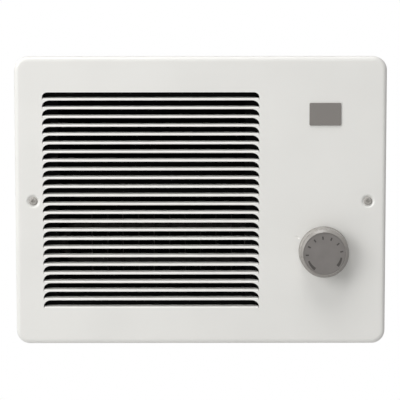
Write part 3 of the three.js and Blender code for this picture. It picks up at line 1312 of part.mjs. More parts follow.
function terminalLoad() {
  const [x0, x1] = terminalBoxes.load;
  const stripY = fixedContactY + CONTACT_HEIGHT;
  const contact = rod(CONTACT_RADIUS, [fixedContactY, stripY + SEAT], 'y',
    [contactX, 0, KNOB_Z], SMALL_ROUND);
  const strip = block([x0, x1], [stripY, stripY + TAB_THICKNESS],
    [KNOB_Z - TERMINAL_WIDTH / 2, terminalZ[1]]);
  const tab = block([x0, x1], [stripY, terminalTipY], terminalZ);
  return join(contact, strip, tab);
}

// ---------------------------------------------------------------- leads

const leadOffset = LEAD_RADIUS + SEAT;
const terminalMid = (pair) => (pair[0] + pair[1]) / 2;
const tabFaceY = terminalTipY + SEAT;

// A lead through its points, which are given in bends where they stand off a piece.
function lead(points, steps) {
  return tubeThrough(points, LEAD_RADIUS, steps, 6);
}

function supplyLeadLine() {
  const x = grommetX + leadOffset;
  const terminalX = terminalMid(terminalBoxes.line);
  return lead([
    [x, GROMMET_Y, WIRING_Z + 4.5 * LEAD_BEND], [x, GROMMET_Y, WIRING_Z + 2 * LEAD_BEND],
    [x, GROMMET_Y, WIRING_Z], [x, GROMMET_Y, WIRING_Z - 2 * LEAD_BEND],
    [terminalX + 0.4 * LEAD_BEND, GROMMET_Y, terminalMidZ + 1.2 * LEAD_BEND],
    [terminalX, tabFaceY + LEAD_BEND, terminalMidZ], [terminalX, tabFaceY, terminalMidZ],
  ], 16);
}

function supplyLeadNeutral() {
  const x = grommetX - leadOffset;
  const [, lower] = elementZ();
  return lead([
    [x, GROMMET_Y, WIRING_Z + 5 * LEAD_BEND], [x, GROMMET_Y, WIRING_Z + 2 * LEAD_BEND],
    [x, GROMMET_Y, WIRING_Z], [x, GROMMET_Y + 0.4 * LEAD_BEND, WIRING_Z - 2 * LEAD_BEND],
    [x - 1.4 * LEAD_BEND, GROMMET_Y + 1.2 * LEAD_BEND, terminalMidZ],
    [pinTipX + 2.2 * LEAD_BEND, GROMMET_Y, lower - 1.8 * LEAD_BEND],
    [pinTipX + 1.4 * LEAD_BEND, ELEMENT_Y + 0.8 * LEAD_BEND, lower - 0.8 * LEAD_BEND],
    [pinTipX + 0.8 * LEAD_BEND, ELEMENT_Y, lower], [pinTipX + SEAT, ELEMENT_Y, lower],
  ], 20);
}

function limitLead() {
  const x = terminalMid(terminalBoxes.load);
  const [, tabY] = limitTabY;
  return lead([
    [x, tabFaceY, terminalMidZ], [x, tabFaceY + 0.9 * LEAD_BEND, terminalMidZ],
    [x - 1.2 * LEAD_BEND, tabFaceY + 1.4 * LEAD_BEND, terminalMidZ - 1.4 * LEAD_BEND],
    [controlLeft + 0.4 * LEAD_BEND, tabFaceY + 0.8 * LEAD_BEND, ELEMENT_Z - LEAD_BEND],
    [controlLeft - 0.8 * LEAD_BEND, tabY + 1.4 * LEAD_BEND, ELEMENT_Z],
    [limitTabX + 0.8 * LEAD_BEND, tabY, ELEMENT_Z], [limitTabX + SEAT, tabY, ELEMENT_Z],
  ], 16);
}

function elementLead() {
  const [upper] = elementZ();
  const [tabY] = limitTabY;
  return lead([
    [limitTabX + SEAT, tabY, ELEMENT_Z], [limitTabX + 0.6 * LEAD_BEND, tabY, ELEMENT_Z],
    [limitTabX + LEAD_BEND, (tabY + ELEMENT_Y) / 2, (ELEMENT_Z + upper) / 2],
    [limitTabX + 0.6 * LEAD_BEND, ELEMENT_Y, upper], [pinTipX + SEAT, ELEMENT_Y, upper],
  ], 14);
}

function motorLead(tabY, pinZ, bowY) {
  const midX = (stackLeft + stackRight) / 2;
  const tabZ = coilBottomZ() - TAB_LENGTH - SEAT;
  const pinX = pinTipX - LEAD_RADIUS * 2;
  const pinFaceY = ELEMENT_Y + PIN_RADIUS + SEAT;
  return lead([
    [midX, tabY, tabZ], [midX, tabY, tabZ - 0.5 * LEAD_BEND],
    [(midX + pinX) / 2, bowY, (tabZ + pinZ) / 2 - 0.2 * LEAD_BEND],
    [pinX, pinFaceY + 0.6 * LEAD_BEND, pinZ], [pinX, pinFaceY, pinZ],
  ], 14);
}

// ---------------------------------------------------------------- assembly

addPart('front_grille', frontGrille(), 'whitePaint');
addPart('badge_plate', badgePlate(), 'badgeGrey');
addPart('thermostat_knob', thermostatKnob(), 'knobGrey');
addPart('knob_dial_face', knobDialFace(), 'dialGrey');
addPart('knob_spring_clip', knobSpringClip(), 'springSteel');
for (const [word, side] of [['left', -1], ['right', 1]]) {
  addPart(`grille_screw_${word}`, grilleScrew(side * grilleScrewX), 'screwSteel');
  addPart(`grille_nut_${word}`, grilleNut(side), 'springSteel');
  addPart(`can_end_${word}`, canEnd(side), 'zincSteel');
}
addPart('can_wrapper', canWrapper(), 'zincSteel');
addPart('knockout_blank', knockoutBlank(), 'zincSteel');
addPart('wiring_partition', wiringPartition(), 'zincSteel');
addPart('lead_grommet', leadGrommet(), 'rubber');
addPart('ground_screw', groundScrew(), 'greenScrew');
addPart('heater_chassis', heaterChassis(), 'blackEnamel');
for (const [word, [x, z]] of [['top_left', [-1, 1]], ['top_right', [1, 1]],
  ['bottom_left', [-1, -1]], ['bottom_right', [1, -1]]]) {
  addPart(`chassis_screw_${word}`, chassisScrew(x * chassisScrewX, z * chassisScrewZ), 'screwSteel');
}
addPart('blower_scroll', blowerScroll(), 'blackEnamel');
addPart('blower_cutoff', blowerCutoff(), 'blackEnamel');
addPart('blower_end_left', blowerEndLeft(), 'blackEnamel');
addPart('blower_end_right', blowerEndRight(), 'blackEnamel');
addPart('blower_wheel', blowerWheel(), 'blackEnamel');
addPart('idle_axle', idleAxle(), 'springSteel');
addPart('idle_bearing', idleBearing(), 'bronze');
addPart('bearing_grommet', bearingGrommet(), 'rubber');
addPart('motor_shaft', motorShaft(), 'springSteel');
addPart('motor_rotor', motorRotor(), 'laminatedSteel');
addPart('motor_stator', motorStator(), 'laminatedSteel');
addPart('motor_coil', motorCoil(), 'windingTape');
addPart('motor_bracket_inner', motorBracketInner(), 'aluminium');
addPart('motor_bracket_outer', motorBracketOuter(), 'aluminium');
addPart('motor_screw_front', motorScrew(motorScrewY[0]), 'screwSteel');
addPart('motor_screw_back', motorScrew(motorScrewY[1]), 'screwSteel');
addPart('element_sheath', elementSheath(), 'elementSteel');
addPart('element_fins', elementFins(), 'elementSteel');
addPart('element_clip', elementClip(), 'zincSteel');
for (const [i, word] of ['upper', 'lower'].entries()) {
  addPart(`element_bushing_${word}`, elementBushing(elementZ()[i]), 'ceramic');
  addPart(`element_terminal_${word}`, elementTerminal(elementZ()[i]), 'brass');
}
addPart('limit_thermostat', limitThermostat(), 'aluminium');
addPart('thermostat_frame', thermostatFrame(), 'zincSteel');
addPart('thermostat_nut', thermostatNut(), 'brass');
addPart('thermostat_spindle', thermostatSpindle(), 'brass');
addPart('thermostat_base', thermostatBase(), 'phenolic');
addPart('contact_arm', contactArm(), 'bronze');
addPart('arm_pivot_pin', armPivotPin(), 'springSteel');
addPart('terminal_line', terminalLine(), 'brass');
addPart('terminal_load', terminalLoad(), 'brass');
addPart('supply_lead_line', supplyLeadLine(), 'blackLead');
addPart('supply_lead_neutral', supplyLeadNeutral(), 'whiteLead');
addPart('limit_lead', limitLead(), 'redLead');
addPart('element_lead', elementLead(), 'redLead');
addPart('motor_lead_front', motorLead(motorTabY()[0], elementZ()[0], ELEMENT_Y + 1.4 * LEAD_BEND),
  'blackLead');
addPart('motor_lead_back', motorLead(motorTabY()[1], elementZ()[1], wheelY), 'whiteLead');

export default heater;
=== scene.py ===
import json
import math

import bmesh
import bpy
from mathutils import Matrix, Vector, geometry

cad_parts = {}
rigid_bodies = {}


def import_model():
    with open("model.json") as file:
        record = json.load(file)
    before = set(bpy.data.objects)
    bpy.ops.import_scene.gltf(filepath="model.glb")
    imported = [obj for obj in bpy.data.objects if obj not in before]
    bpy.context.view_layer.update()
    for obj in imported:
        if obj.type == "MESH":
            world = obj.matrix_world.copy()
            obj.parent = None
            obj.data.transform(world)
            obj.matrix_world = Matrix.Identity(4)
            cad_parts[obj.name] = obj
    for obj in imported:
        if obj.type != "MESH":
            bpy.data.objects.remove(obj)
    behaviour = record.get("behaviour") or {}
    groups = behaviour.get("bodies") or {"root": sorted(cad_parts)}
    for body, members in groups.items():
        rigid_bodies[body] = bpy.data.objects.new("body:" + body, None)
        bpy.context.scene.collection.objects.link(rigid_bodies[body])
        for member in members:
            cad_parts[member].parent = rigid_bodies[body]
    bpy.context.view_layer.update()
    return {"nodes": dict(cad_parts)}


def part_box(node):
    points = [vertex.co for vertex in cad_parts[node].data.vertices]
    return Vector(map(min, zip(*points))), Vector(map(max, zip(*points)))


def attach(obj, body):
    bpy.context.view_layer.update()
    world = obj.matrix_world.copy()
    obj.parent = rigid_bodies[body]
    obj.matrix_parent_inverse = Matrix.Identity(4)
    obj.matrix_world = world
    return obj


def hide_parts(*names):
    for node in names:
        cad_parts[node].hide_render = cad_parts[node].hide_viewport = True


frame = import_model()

MM = 0.001
TAU = 2 * math.pi
QUARTER_TURN = math.pi / 2


# ---------------------------------------------------------------- shader nodes

def added(tree, kind, operation=None, **values):
    """A new shader node, with inputs set by their names; an underscore stands for a space."""
    node = tree.nodes.new("ShaderNode" + kind)
    if operation:
        node.operation = operation
    for name, value in values.items():
        node.inputs[name.replace("_", " ")].default_value = value
    return node


def blended(tree, share, first, second, output):
    """Sends a blend of two shaders to the output; a share of 1 gives the second."""
    mix = added(tree, "MixShader")
    tree.links.new(share, mix.inputs[0])
    tree.links.new(first.outputs[0], mix.inputs[1])
    tree.links.new(second.outputs[0], mix.inputs[2])
    tree.links.new(mix.outputs[0], output.inputs["Surface"])


def ray_is(tree, *kinds):
    """1 for a ray of any of the kinds, which are outputs of Light Path, otherwise 0."""
    path = added(tree, "LightPath")
    result = path.outputs[kinds[0]]
    for kind in kinds[1:]:
        either = added(tree, "Math", "MAXIMUM")
        tree.links.new(result, either.inputs[0])
        tree.links.new(path.outputs[kind], either.inputs[1])
        result = either.outputs[0]
    return result


# ---------------------------------------------------------------- materials

def linear(value):
    """One sRGB channel, 0 to 255, as a linear number."""
    share = value / 255
    return share / 12.92 if share <= 0.04045 else ((share + 0.055) / 1.055) ** 2.4


def colour(red, green, blue):
    return (linear(red), linear(green), linear(blue), 1)


def shaded(rgb, share):
    return tuple(min(channel * share, 1) for channel in rgb[:3]) + (1,)


class Recipe:
    """A node material on one Principled shader, built from small texture steps."""

    def __init__(self, name):
        self.material = bpy.data.materials.new(name)
        self.material.use_nodes = True
        self.tree = self.material.node_tree
        self.shader = self.tree.nodes["Principled BSDF"]
        self.place = added(self.tree, "TexCoord").outputs["Object"]
        self.height = None

    def join(self, source, target):
        self.tree.links.new(source, target)

    def stretched(self, scale):
        """Object coordinates, drawn out by a factor along each axis."""
        node = added(self.tree, "Mapping", Scale=scale)
        self.join(self.place, node.inputs["Vector"])
        return node.outputs["Vector"]

    def noise(self, scale, detail=3, place=None):
        node = added(self.tree, "TexNoise", Scale=scale, Detail=detail)
        self.join(place or self.place, node.inputs["Vector"])
        return node.outputs["Fac"]

    def cells(self, scale, output, feature="F1"):
        node = added(self.tree, "TexVoronoi")
        node.feature = feature
        node.inputs["Scale"].default_value = scale
        self.join(self.place, node.inputs["Vector"])
        return node.outputs[output]

    def bands(self, scale, axis, distortion):
        node = added(self.tree, "TexWave", Scale=scale, Distortion=distortion)
        node.bands_direction = axis
        self.join(self.place, node.inputs["Vector"])
        return node.outputs["Fac"]

    def ramp(self, source, low, high, start=0.0, end=1.0):
        """A number between two values, as the source goes from start to end."""
        node = added(self.tree, "MapRange", From_Min=start, From_Max=end, To_Min=low, To_Max=high)
        self.join(source, node.inputs["Value"])
        return node.outputs["Result"]

    def mixed(self, source, first, second, start=0.35, end=0.65):
        """A colour between two, as the source goes from start to end."""
        node = added(self.tree, "Mix")
        node.data_type = "RGBA"
        self.join(self.ramp(source, 0, 1, start, end), node.inputs["Factor"])
        sides = [s for s in node.inputs if s.type == "RGBA"]
        for socket, value in zip(sides, (first, second)):
            if isinstance(value, tuple):
                socket.default_value = value
            else:
                self.join(value, socket)
        return [s for s in node.outputs if s.type == "RGBA"][0]

    def base(self, source):
        self.join(source, self.shader.inputs["Base Color"])

    def rough(self, source, low, high):
        self.join(self.ramp(source, low, high, 0.3, 0.7), self.shader.inputs["Roughness"])

    def bump(self, source, depth, strength):
        """Adds a relief of the given depth in millimetres to what is there already."""
        node = added(self.tree, "Bump", Distance=depth * MM, Strength=strength)
        self.join(source, node.inputs["Height"])
        if self.height is not None:
            self.join(self.height, node.inputs["Normal"])
        self.height = node.outputs["Normal"]
        self.join(self.height, self.shader.inputs["Normal"])

    def constant(self, **values):
        for name, value in values.items():
            self.shader.inputs[name.replace("_", " ")].default_value = value


# In the recipes, a texture's scale is its number of features in a metre.

def painted(name, rgb, roughness, peel=0.02, specular=0.5):
    """Sprayed enamel with a fine orange peel and a trace of uneven tone."""
    recipe = Recipe(name)
    tone = recipe.noise(14, detail=2)
    recipe.base(recipe.mixed(tone, shaded(rgb, 0.985), shaded(rgb, 1.012)))
    recipe.rough(recipe.noise(60), roughness - 0.04, roughness + 0.05)
    recipe.bump(recipe.noise(650, detail=2), depth=peel, strength=0.5)
    recipe.bump(recipe.noise(2600, detail=2), depth=peel * 0.3, strength=0.4)
    recipe.constant(Specular_IOR_Level=specular)
    return recipe.material


def moulded(name, rgb, roughness, grain=0.02):
    """Moulded plastic with a fine even grain."""
    recipe = Recipe(name)
    recipe.base(recipe.mixed(recipe.noise(90, detail=4), shaded(rgb, 0.95), shaded(rgb, 1.05)))
    recipe.rough(recipe.noise(160), roughness - 0.05, roughness + 0.06)
    recipe.bump(recipe.noise(3200), depth=grain, strength=0.6)
    return recipe.material


def spangled(name, rgb, crystals):
    """Hot-dip zinc: flat crystals of slightly different tone and sheen."""
    recipe = Recipe(name)
    channels = added(recipe.tree, "SeparateColor")
    recipe.join(recipe.cells(crystals, "Color"), channels.inputs["Color"])
    tone = recipe.mixed(channels.outputs["Red"], shaded(rgb, 0.9), shaded(rgb, 1.06), 0.1, 0.9)
    smear = recipe.noise(9, detail=4)
    recipe.base(recipe.mixed(smear, tone, shaded(rgb, 0.93), 0.45, 0.8))
    recipe.join(recipe.ramp(channels.outputs["Green"], 0.5, 0.62), recipe.shader.inputs["Roughness"])
    recipe.bump(recipe.noise(1500, detail=2), depth=0.012, strength=0.5)
    recipe.bump(recipe.cells(crystals, "Distance", "DISTANCE_TO_EDGE"), depth=0.02, strength=0.2)
    recipe.constant(Metallic=0.6)
    return recipe.material


def drawn(name, rgb, roughness, axis, metallic=0.9, specular=0.5):
    """Metal with fine lines along one axis, as rolled, drawn or turned."""
    recipe = Recipe(name)
    scale = [40.0 if i == axis else 1600.0 for i in range(3)]
    lines = recipe.noise(1, place=recipe.stretched(scale))
    recipe.base(recipe.mixed(lines, shaded(rgb, 0.86), shaded(rgb, 1.08)))
    recipe.rough(recipe.noise(120), roughness - 0.06, roughness + 0.09)
    recipe.bump(lines, depth=0.012, strength=0.5)
    recipe.constant(Metallic=metallic, Specular_IOR_Level=specular)
    return recipe.material


def laminated(name, rgb):
    """A stack of punched sheets: lines across X, with a blued edge."""
    recipe = Recipe(name)
    sheets = recipe.bands(330, "X", distortion=0.4)
    recipe.base(recipe.mixed(sheets, shaded(rgb, 0.55), shaded(rgb, 1.15), 0.1, 0.6))
    recipe.rough(recipe.noise(200), 0.45, 0.62)
    recipe.bump(sheets, depth=0.08, strength=0.7)
    recipe.constant(Metallic=0.7)
    return recipe.material


def taped(name, rgb):
    """Woven winding tape in overlapping turns."""
    recipe = Recipe(name)
    turns = recipe.bands(55, "Y", distortion=0.6)
    weave = recipe.noise(1, detail=2, place=recipe.stretched([2600.0, 900.0, 2600.0]))
    recipe.base(recipe.mixed(turns, shaded(rgb, 0.78), shaded(rgb, 1.06), 0.05, 0.35))
    recipe.rough(weave, 0.5, 0.7)
    recipe.bump(turns, depth=0.25, strength=0.6)
    recipe.bump(weave, depth=0.05, strength=0.5)
    return recipe.material


LOOKS = {}


def add_look(name, make, rgb, **rest):
    LOOKS[name] = make(name, colour(*rgb), **rest)


add_look("white_paint", painted, (231, 230, 226), roughness=0.32)
add_look("badge_grey", painted, (126, 122, 118), roughness=0.5, peel=0.008)
add_look("knob_grey", moulded, (148, 144, 139), roughness=0.3)
add_look("dial_grey", moulded, (119, 115, 112), roughness=0.5, grain=0.012)
add_look("dial_ink", moulded, (66, 63, 60), roughness=0.6, grain=0.005)
add_look("zinc_steel", spangled, (158, 162, 164), crystals=150)
# Painted shade: near-black paint on the inner pieces behind the louvres. It stands in for the shade inside
# the case.
add_look("black_enamel", painted, (10, 10, 10), roughness=0.8, peel=0.03, specular=0.06)
add_look("screw_steel", drawn, (186, 184, 178), roughness=0.36, axis=1)
add_look("dull_zinc", drawn, (166, 163, 158), roughness=0.62, axis=1, metallic=0.3, specular=0.3)
add_look("spring_steel", drawn, (150, 153, 156), roughness=0.34, axis=0)
add_look("laminated_steel", laminated, (112, 114, 118))
# Painted shade: steel darkened almost to black, with little sheen. It stands in for the shade inside the
# case, behind the louvres.
add_look("element_steel", drawn, (26, 24, 23), roughness=0.7, axis=0, metallic=0.1, specular=0.15)
add_look("aluminium", drawn, (196, 199, 202), roughness=0.36, axis=0)
add_look("brass", drawn, (190, 160, 96), roughness=0.34, axis=1)
add_look("bronze", drawn, (160, 116, 72), roughness=0.38, axis=0)
add_look("rubber", moulded, (30, 30, 30), roughness=0.8, grain=0.05)
add_look("phenolic", moulded, (44, 39, 36), roughness=0.48, grain=0.04)
add_look("ceramic", moulded, (228, 222, 208), roughness=0.45, grain=0.05)
add_look("winding_tape", taped, (214, 198, 158))
add_look("black_lead", moulded, (26, 26, 26), roughness=0.5, grain=0.03)
add_look("white_lead", moulded, (218, 216, 208), roughness=0.5, grain=0.03)
add_look("red_lead", moulded, (158, 40, 32), roughness=0.5, grain=0.03)
add_look("green_screw", painted, (46, 118, 66), roughness=0.4)


# ---------------------------------------------------------------- mesh helpers

SAME_POINT = 1e-4
SAME_CORNER = 1e-7  # of the pieces that a flat face is cut into


def finished(name, bm, look, body, replaces=(), sharp=32, wall=0.0):
    """Makes the object of a bmesh in millimetres, with crisp edges above an angle, on its body."""
    bmesh.ops.transform(bm, matrix=Matrix.Scale(MM, 4), verts=bm.verts)
    mesh = bpy.data.meshes.new(name)
    bm.to_mesh(mesh)
    bm.free()
    piece = bpy.data.objects.new(name, mesh)
    bpy.context.collection.objects.link(piece)
    if wall:
        shell = piece.modifiers.new("wall", "SOLIDIFY")
        shell.thickness = wall * MM
        shell.offset = -1
        shell.use_even_offset = True
        shell.use_quality_normals = True
        applied(piece)
    crisp(piece.data, sharp)
    shading = piece.modifiers.new("shading", "WEIGHTED_NORMAL")
    shading.keep_sharp = True
    applied(piece)
    piece.data.materials.clear()
    piece.data.materials.append(LOOKS[look])
    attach(piece, body)
    if replaces:
        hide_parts(*replaces)


def applied(piece):
    """Turns the object's modifiers into its mesh."""
    bpy.context.view_layer.update()
    graph = bpy.context.evaluated_depsgraph_get()
    mesh = bpy.data.meshes.new_from_object(piece.evaluated_get(graph))
    piece.modifiers.clear()
    piece.data = mesh


def crisp(mesh, degrees):
    """Smooths the shading over every edge but the open ones and those above an angle."""
    bm = bmesh.new()
    bm.from_mesh(mesh)
    limit = math.radians(degrees)
    for face in bm.faces:
        face.smooth = True
    for edge in bm.edges:
        edge.smooth = len(edge.link_faces) == 2 and edge.calc_face_angle(0) < limit
    bm.to_mesh(mesh)
    bm.free()


def closed_up(bm):
    """Joins the points that meet and turns all faces outwards."""
    bmesh.ops.remove_doubles(bm, verts=bm.verts, dist=SAME_POINT)
    bmesh.ops.recalc_face_normals(bm, faces=bm.faces)


def skin(bm, rows, closed=True):
    """Faces between rows of vertices, each row beside the next; closed rows run round."""
    for near, far in zip(rows, rows[1:]):
        count = len(near)
        for i in range(count if closed else count - 1):
            j = (i + 1) % count
            corners = [near[i], near[j], far[j], far[i]]
            kept = [c for k, c in enumerate(corners) if c is not corners[k - 1]]
            if len(kept) > 2:
                bm.faces.new(kept)


def filled(bm, outer, holes):
    """Faces of the flat region between an outer loop of vertices and its holes, in (x, z)."""
    loops = [outer, *holes]
    vertices = [v for loop in loops for v in loop]
    edges = []
    start = 0
    for loop in loops:
        edges += [(start + i, start + (i + 1) % len(loop)) for i in range(len(loop))]
        start += len(loop)
    flat = [Vector((v.co.x, v.co.z)) for v in vertices]
    found = geometry.delaunay_2d_cdt(flat, edges, [], 0, SAME_CORNER)
    outlines = [[(v.co.x, v.co.z) for v in loop] for loop in loops]
    for face in found[2]:
        corners = [vertices[found[3][i][0]] for i in face]
        x = sum(c.co.x for c in corners) / 3
        z = sum(c.co.z for c in corners) / 3
        inside = [within(x, z, outline) for outline in outlines]
        if inside[0] and not any(inside[1:]):
            bm.faces.new(corners)


def within(x, z, outline):
    """Whether a point lies inside an outline, by the edges that a ray from it crosses."""
    odd = False
    for (x0, z0), (x1, z1) in zip(outline, outline[1:] + outline[:1]):
        if (z0 > z) != (z1 > z) and x < x0 + (z - z0) * (x1 - x0) / (z1 - z0):
            odd = not odd
    return odd


def loop_at(bm, outline, y, middle=(0, 0)):
    """A loop of vertices at one depth, from an outline in (x, z) about its middle."""
    return [bm.verts.new((middle[0] + x, y, middle[1] + z)) for x, z in outline]


def circle(radius, sides):
    """An outline in (x, z), anticlockwise as the front sees it."""
    return [(radius * math.cos(TAU * i / sides), radius * math.sin(TAU * i / sides)) for i in range(sides)]


def rounded_rectangle(half_x, half_z, radius, steps=10):
    """An outline in (x, z), anticlockwise as the front sees it."""
    points = []
    for quarter, (sx, sz) in enumerate(((1, 1), (-1, 1), (-1, -1), (1, -1))):
        for i in range(steps + 1):
            angle = (quarter + i / steps) * QUARTER_TURN
            points.append((sx * (half_x - radius) + radius * math.cos(angle),
                           sz * (half_z - radius) + radius * math.sin(angle)))
    return points


def turned(outline, angle):
    """An outline in (x, z), turned about its origin."""
    c, s = math.cos(angle), math.sin(angle)
    return [(x * c - z * s, x * s + z * c) for x, z in outline]


def lathe(bm, profile, origin, axis="y", sides=64):
    """Turns (radius, distance) pairs round an axis."""
    rows = []
    for radius, along in profile:
        if radius:
            rows.append([bm.verts.new(placed(origin, axis, radius, along, TAU * i / sides))
                         for i in range(sides)])
        else:
            rows.append([bm.verts.new(placed(origin, axis, 0, along, 0))] * sides)
    skin(bm, rows)


def placed(origin, axis, radius, along, angle):
    """The point at a distance along an axis through the origin, and at a radius and angle round it."""
    u = radius * math.cos(angle)
    v = radius * math.sin(angle)
    offset = {"x": (along, u, v), "y": (u, along, v), "z": (u, v, along)}[axis]
    return Vector(origin) + Vector(offset)


def box_of(node):
    """The middle and the two corners of a CAD node, in millimetres."""
    low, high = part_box(node)
    return (low + high) / 2 / MM, low / MM, high / MM


# ---------------------------------------------------------------- front panel

FACE_Y = -13.0
SHEET = 0.9
PANEL_X = 165.0  # half the width
PANEL_Z = 128.5  # half the height
PANEL_CORNER = 12.0
SIDE_LEVELS = (-6.0, -2.0, 0.0)
RIM_BEND = 3.0
RIM_REACH = 4.4
RIM_FLAT = 0.5  # of the face, inside the bend
RIM_STEPS = 10

LOUVRE_LEFT = -140.4
LOUVRE_RIGHT = 52.1
LOUVRES = 25
PITCH = 7.78
OPENING = 7.18
TOP_OPENING = 6.5
LOUVRE_RAISE = 0.7  # of the louvres' middle over the panel's
HINGE_LOW = LOUVRE_RAISE - (PITCH * (LOUVRES - 1) + OPENING) / 2
CORNER_ACROSS = 6.8
CORNER_HIGH = 5.6
TOP_CORNER_ACROSS = 5.0
TOP_CORNER_HIGH = 4.3
CORNER_STEPS = 12
TOP_STEPS = 12  # along an opening's upper edge

SIDE_GAP = 0.35  # beside a blade
BEND = 1.3  # the radius at a blade's hinge
BEND_STEPS = 6
RISE = math.radians(6.5)
REACH = 7.1  # of a blade behind the face
BLADE_SHARES = (0.12, 0.3, 0.5, 0.66, 0.78, 0.87, 0.93, 0.97, 1)  # rows from the bend to the tip
END_SHARES = (0, 0.004, 0.01, 0.018, 0.03, 0.05, 0.08)  # columns at each end
MIDDLE_COLUMNS = 12

SCREW_X = 149.0
DIMPLE_DEPTH = 1.35
DIMPLE_SLOPE = ((6.9, 0), (6.4, 0.02), (5.9, 0.1), (5.3, 0.36), (4.7, 0.74), (4.25, 1.06), (3.9, 1.26),
                (3.5, DIMPLE_DEPTH), (2.3, DIMPLE_DEPTH))  # (radius, depth)
DIMPLE_SIDES = 48

KNOB_AT = (109.6, -44.7)
KNOB_HOLE = 4.1
BADGE_AT = (110.5, 77.5)
BADGE_PINS = [(BADGE_AT[0] + side * 9.0, BADGE_AT[1]) for side in (-1, 1)]
BADGE_HOLE = 1.5

INDEX_RADIUS = 26.2
INDEX_ANGLE = math.radians(152)
INDEX_AT = (KNOB_AT[0] + INDEX_RADIUS * math.cos(INDEX_ANGLE),
            KNOB_AT[1] + INDEX_RADIUS * math.sin(INDEX_ANGLE))
INDEX_SIZE = (1.9, 0.95, 0.9)  # half its length, half its width and its corner
INDEX_SLOPE = ((-0.3, 0), (0, 0), (0.12, 0.06), (0.36, 0.36), (0.5, 0.45))  # (inset, depth)


def louvre_profile():
    """(depth from the face, height above the hinge) of the blade's upper skin."""
    turn = QUARTER_TURN - RISE
    line = [(BEND * (1 - math.cos(turn * i / BEND_STEPS)), BEND * math.sin(turn * i / BEND_STEPS))
            for i in range(BEND_STEPS + 1)]
    depth, height = line[-1]
    for share in BLADE_SHARES:
        step = (REACH - depth) * share
        line.append((depth + step, height + step * math.tan(RISE)))
    return line


def blade_inset(depth):
    """How far the blade's end is drawn in by its rounded inner corner."""
    past = max(depth - (REACH - CORNER_HIGH), 0) / CORNER_HIGH
    return CORNER_ACROSS * (1 - math.sqrt(max(1 - past ** 2, 0)))


def column_shares():
    """Where a blade's columns stand along it, closer together near its ends."""
    last = END_SHARES[-1]
    middle = [last + (1 - 2 * last) * i / MIDDLE_COLUMNS for i in range(1, MIDDLE_COLUMNS)]
    return [*END_SHARES, *middle, *(1 - share for share in reversed(END_SHARES))]


def opening_loop(bm, hinge, height, across, high, hinge_row):
    """The edge of one opening: its hinge below, upright sides and rounded upper corners."""
    top = hinge + height
    arc = [QUARTER_TURN * i / CORNER_STEPS for i in range(CORNER_STEPS + 1)]
    corner = [(across * (1 - math.cos(a)), top - high * (1 - math.sin(a))) for a in arc]
    right = [(LOUVRE_RIGHT - inset, z) for inset, z in corner]
    left = [(LOUVRE_LEFT + inset, z) for inset, z in reversed(corner)]
    start = right[-1][0]
    span = start - left[0][0]
    middle = [(start - span * i / TOP_STEPS, top) for i in range(1, TOP_STEPS)]
    upper = loop_at(bm, right + middle + left, FACE_Y)
    lower_left, lower_right = loop_at(bm, [(LOUVRE_LEFT, hinge), (LOUVRE_RIGHT, hinge)], FACE_Y)
    return [lower_left, *hinge_row, lower_right, *upper]


def louvre(bm, index):
    """One blade, bent in from its opening's lower edge. Gives the opening's loop."""
    hinge = HINGE_LOW + index * PITCH
    size = (OPENING, CORNER_ACROSS, CORNER_HIGH)
    if index == LOUVRES - 1:
        size = (TOP_OPENING, TOP_CORNER_ACROSS, TOP_CORNER_HIGH)
    rows = []
    for depth, rise in louvre_profile():
        inset = SIDE_GAP + blade_inset(depth)
        start = LOUVRE_LEFT + inset
        span = LOUVRE_RIGHT - inset - start
        rows.append(loop_at(bm, [(start + span * share, hinge + rise) for share in column_shares()],
                            FACE_Y + depth))
    skin(bm, rows, closed=False)
    return opening_loop(bm, hinge, *size, rows[0])


def dimple(bm, x):
    """A dished seat: a soft lip, a sloping wall and a flat floor with the screw's hole."""
    rows = [loop_at(bm, circle(radius, DIMPLE_SIDES), FACE_Y + depth, (x, 0))
            for radius, depth in DIMPLE_SLOPE]
    skin(bm, rows)
    return rows[0]


def index_mark(bm):
    """A short pressed mark that points at the knob's middle."""
    rows = []
    for inset, depth in INDEX_SLOPE:
        outline = rounded_rectangle(*(size - inset for size in INDEX_SIZE), steps=6)
        rows.append(loop_at(bm, turned(outline, INDEX_ANGLE), FACE_Y + depth, INDEX_AT))
    skin(bm, rows)
    bm.faces.new(rows[-1])
    return rows[0]


def panel_outline(inset):
    return rounded_rectangle(PANEL_X - inset, PANEL_Z - inset, PANEL_CORNER - min(inset, RIM_REACH))


def front_panel():
    bm = bmesh.new()
    holes = [louvre(bm, i) for i in range(LOUVRES)]
    holes.append(index_mark(bm))
    holes += [dimple(bm, side * SCREW_X) for side in (-1, 1)]
    holes.append(loop_at(bm, circle(KNOB_HOLE, sides=24), FACE_Y, KNOB_AT))
    holes += [loop_at(bm, circle(BADGE_HOLE, sides=12), FACE_Y, pin) for pin in BADGE_PINS]
    rows = [loop_at(bm, panel_outline(RIM_REACH + RIM_FLAT), FACE_Y)]
    for i in range(RIM_STEPS + 1):
        angle = QUARTER_TURN * (1 - i / RIM_STEPS)
        rows.append(loop_at(bm, panel_outline(RIM_REACH * (1 - math.cos(angle))),
                            FACE_Y + RIM_BEND * (1 - math.sin(angle))))
    rows += [loop_at(bm, panel_outline(0), y) for y in SIDE_LEVELS]
    filled(bm, rows[0], holes)
    skin(bm, rows[::-1])
    bmesh.ops.remove_doubles(bm, verts=bm.verts, dist=SAME_POINT)
    finished("front_panel", bm, "white_paint", "housing", ["front_grille"], wall=SHEET)


front_panel()


# ---------------------------------------------------------------- badge

BADGE_SIZE = (14.0, 10.0, 1.0)  # half its width, half its height and its corner
BADGE_FRONT = -14.1
BADGE_BACK = -13.3
BADGE_LEVELS = ((0, BADGE_BACK), (0, BADGE_FRONT + 0.28), (0.098, BADGE_FRONT + 0.084),
                (0.28, BADGE_FRONT))  # (inset, y)
PIN_PROFILE = ((0, -13.35), (1.2, -13.35), (1.2, -10.6), (0.9, -10.3), (0, -10.3))  # (radius, y)


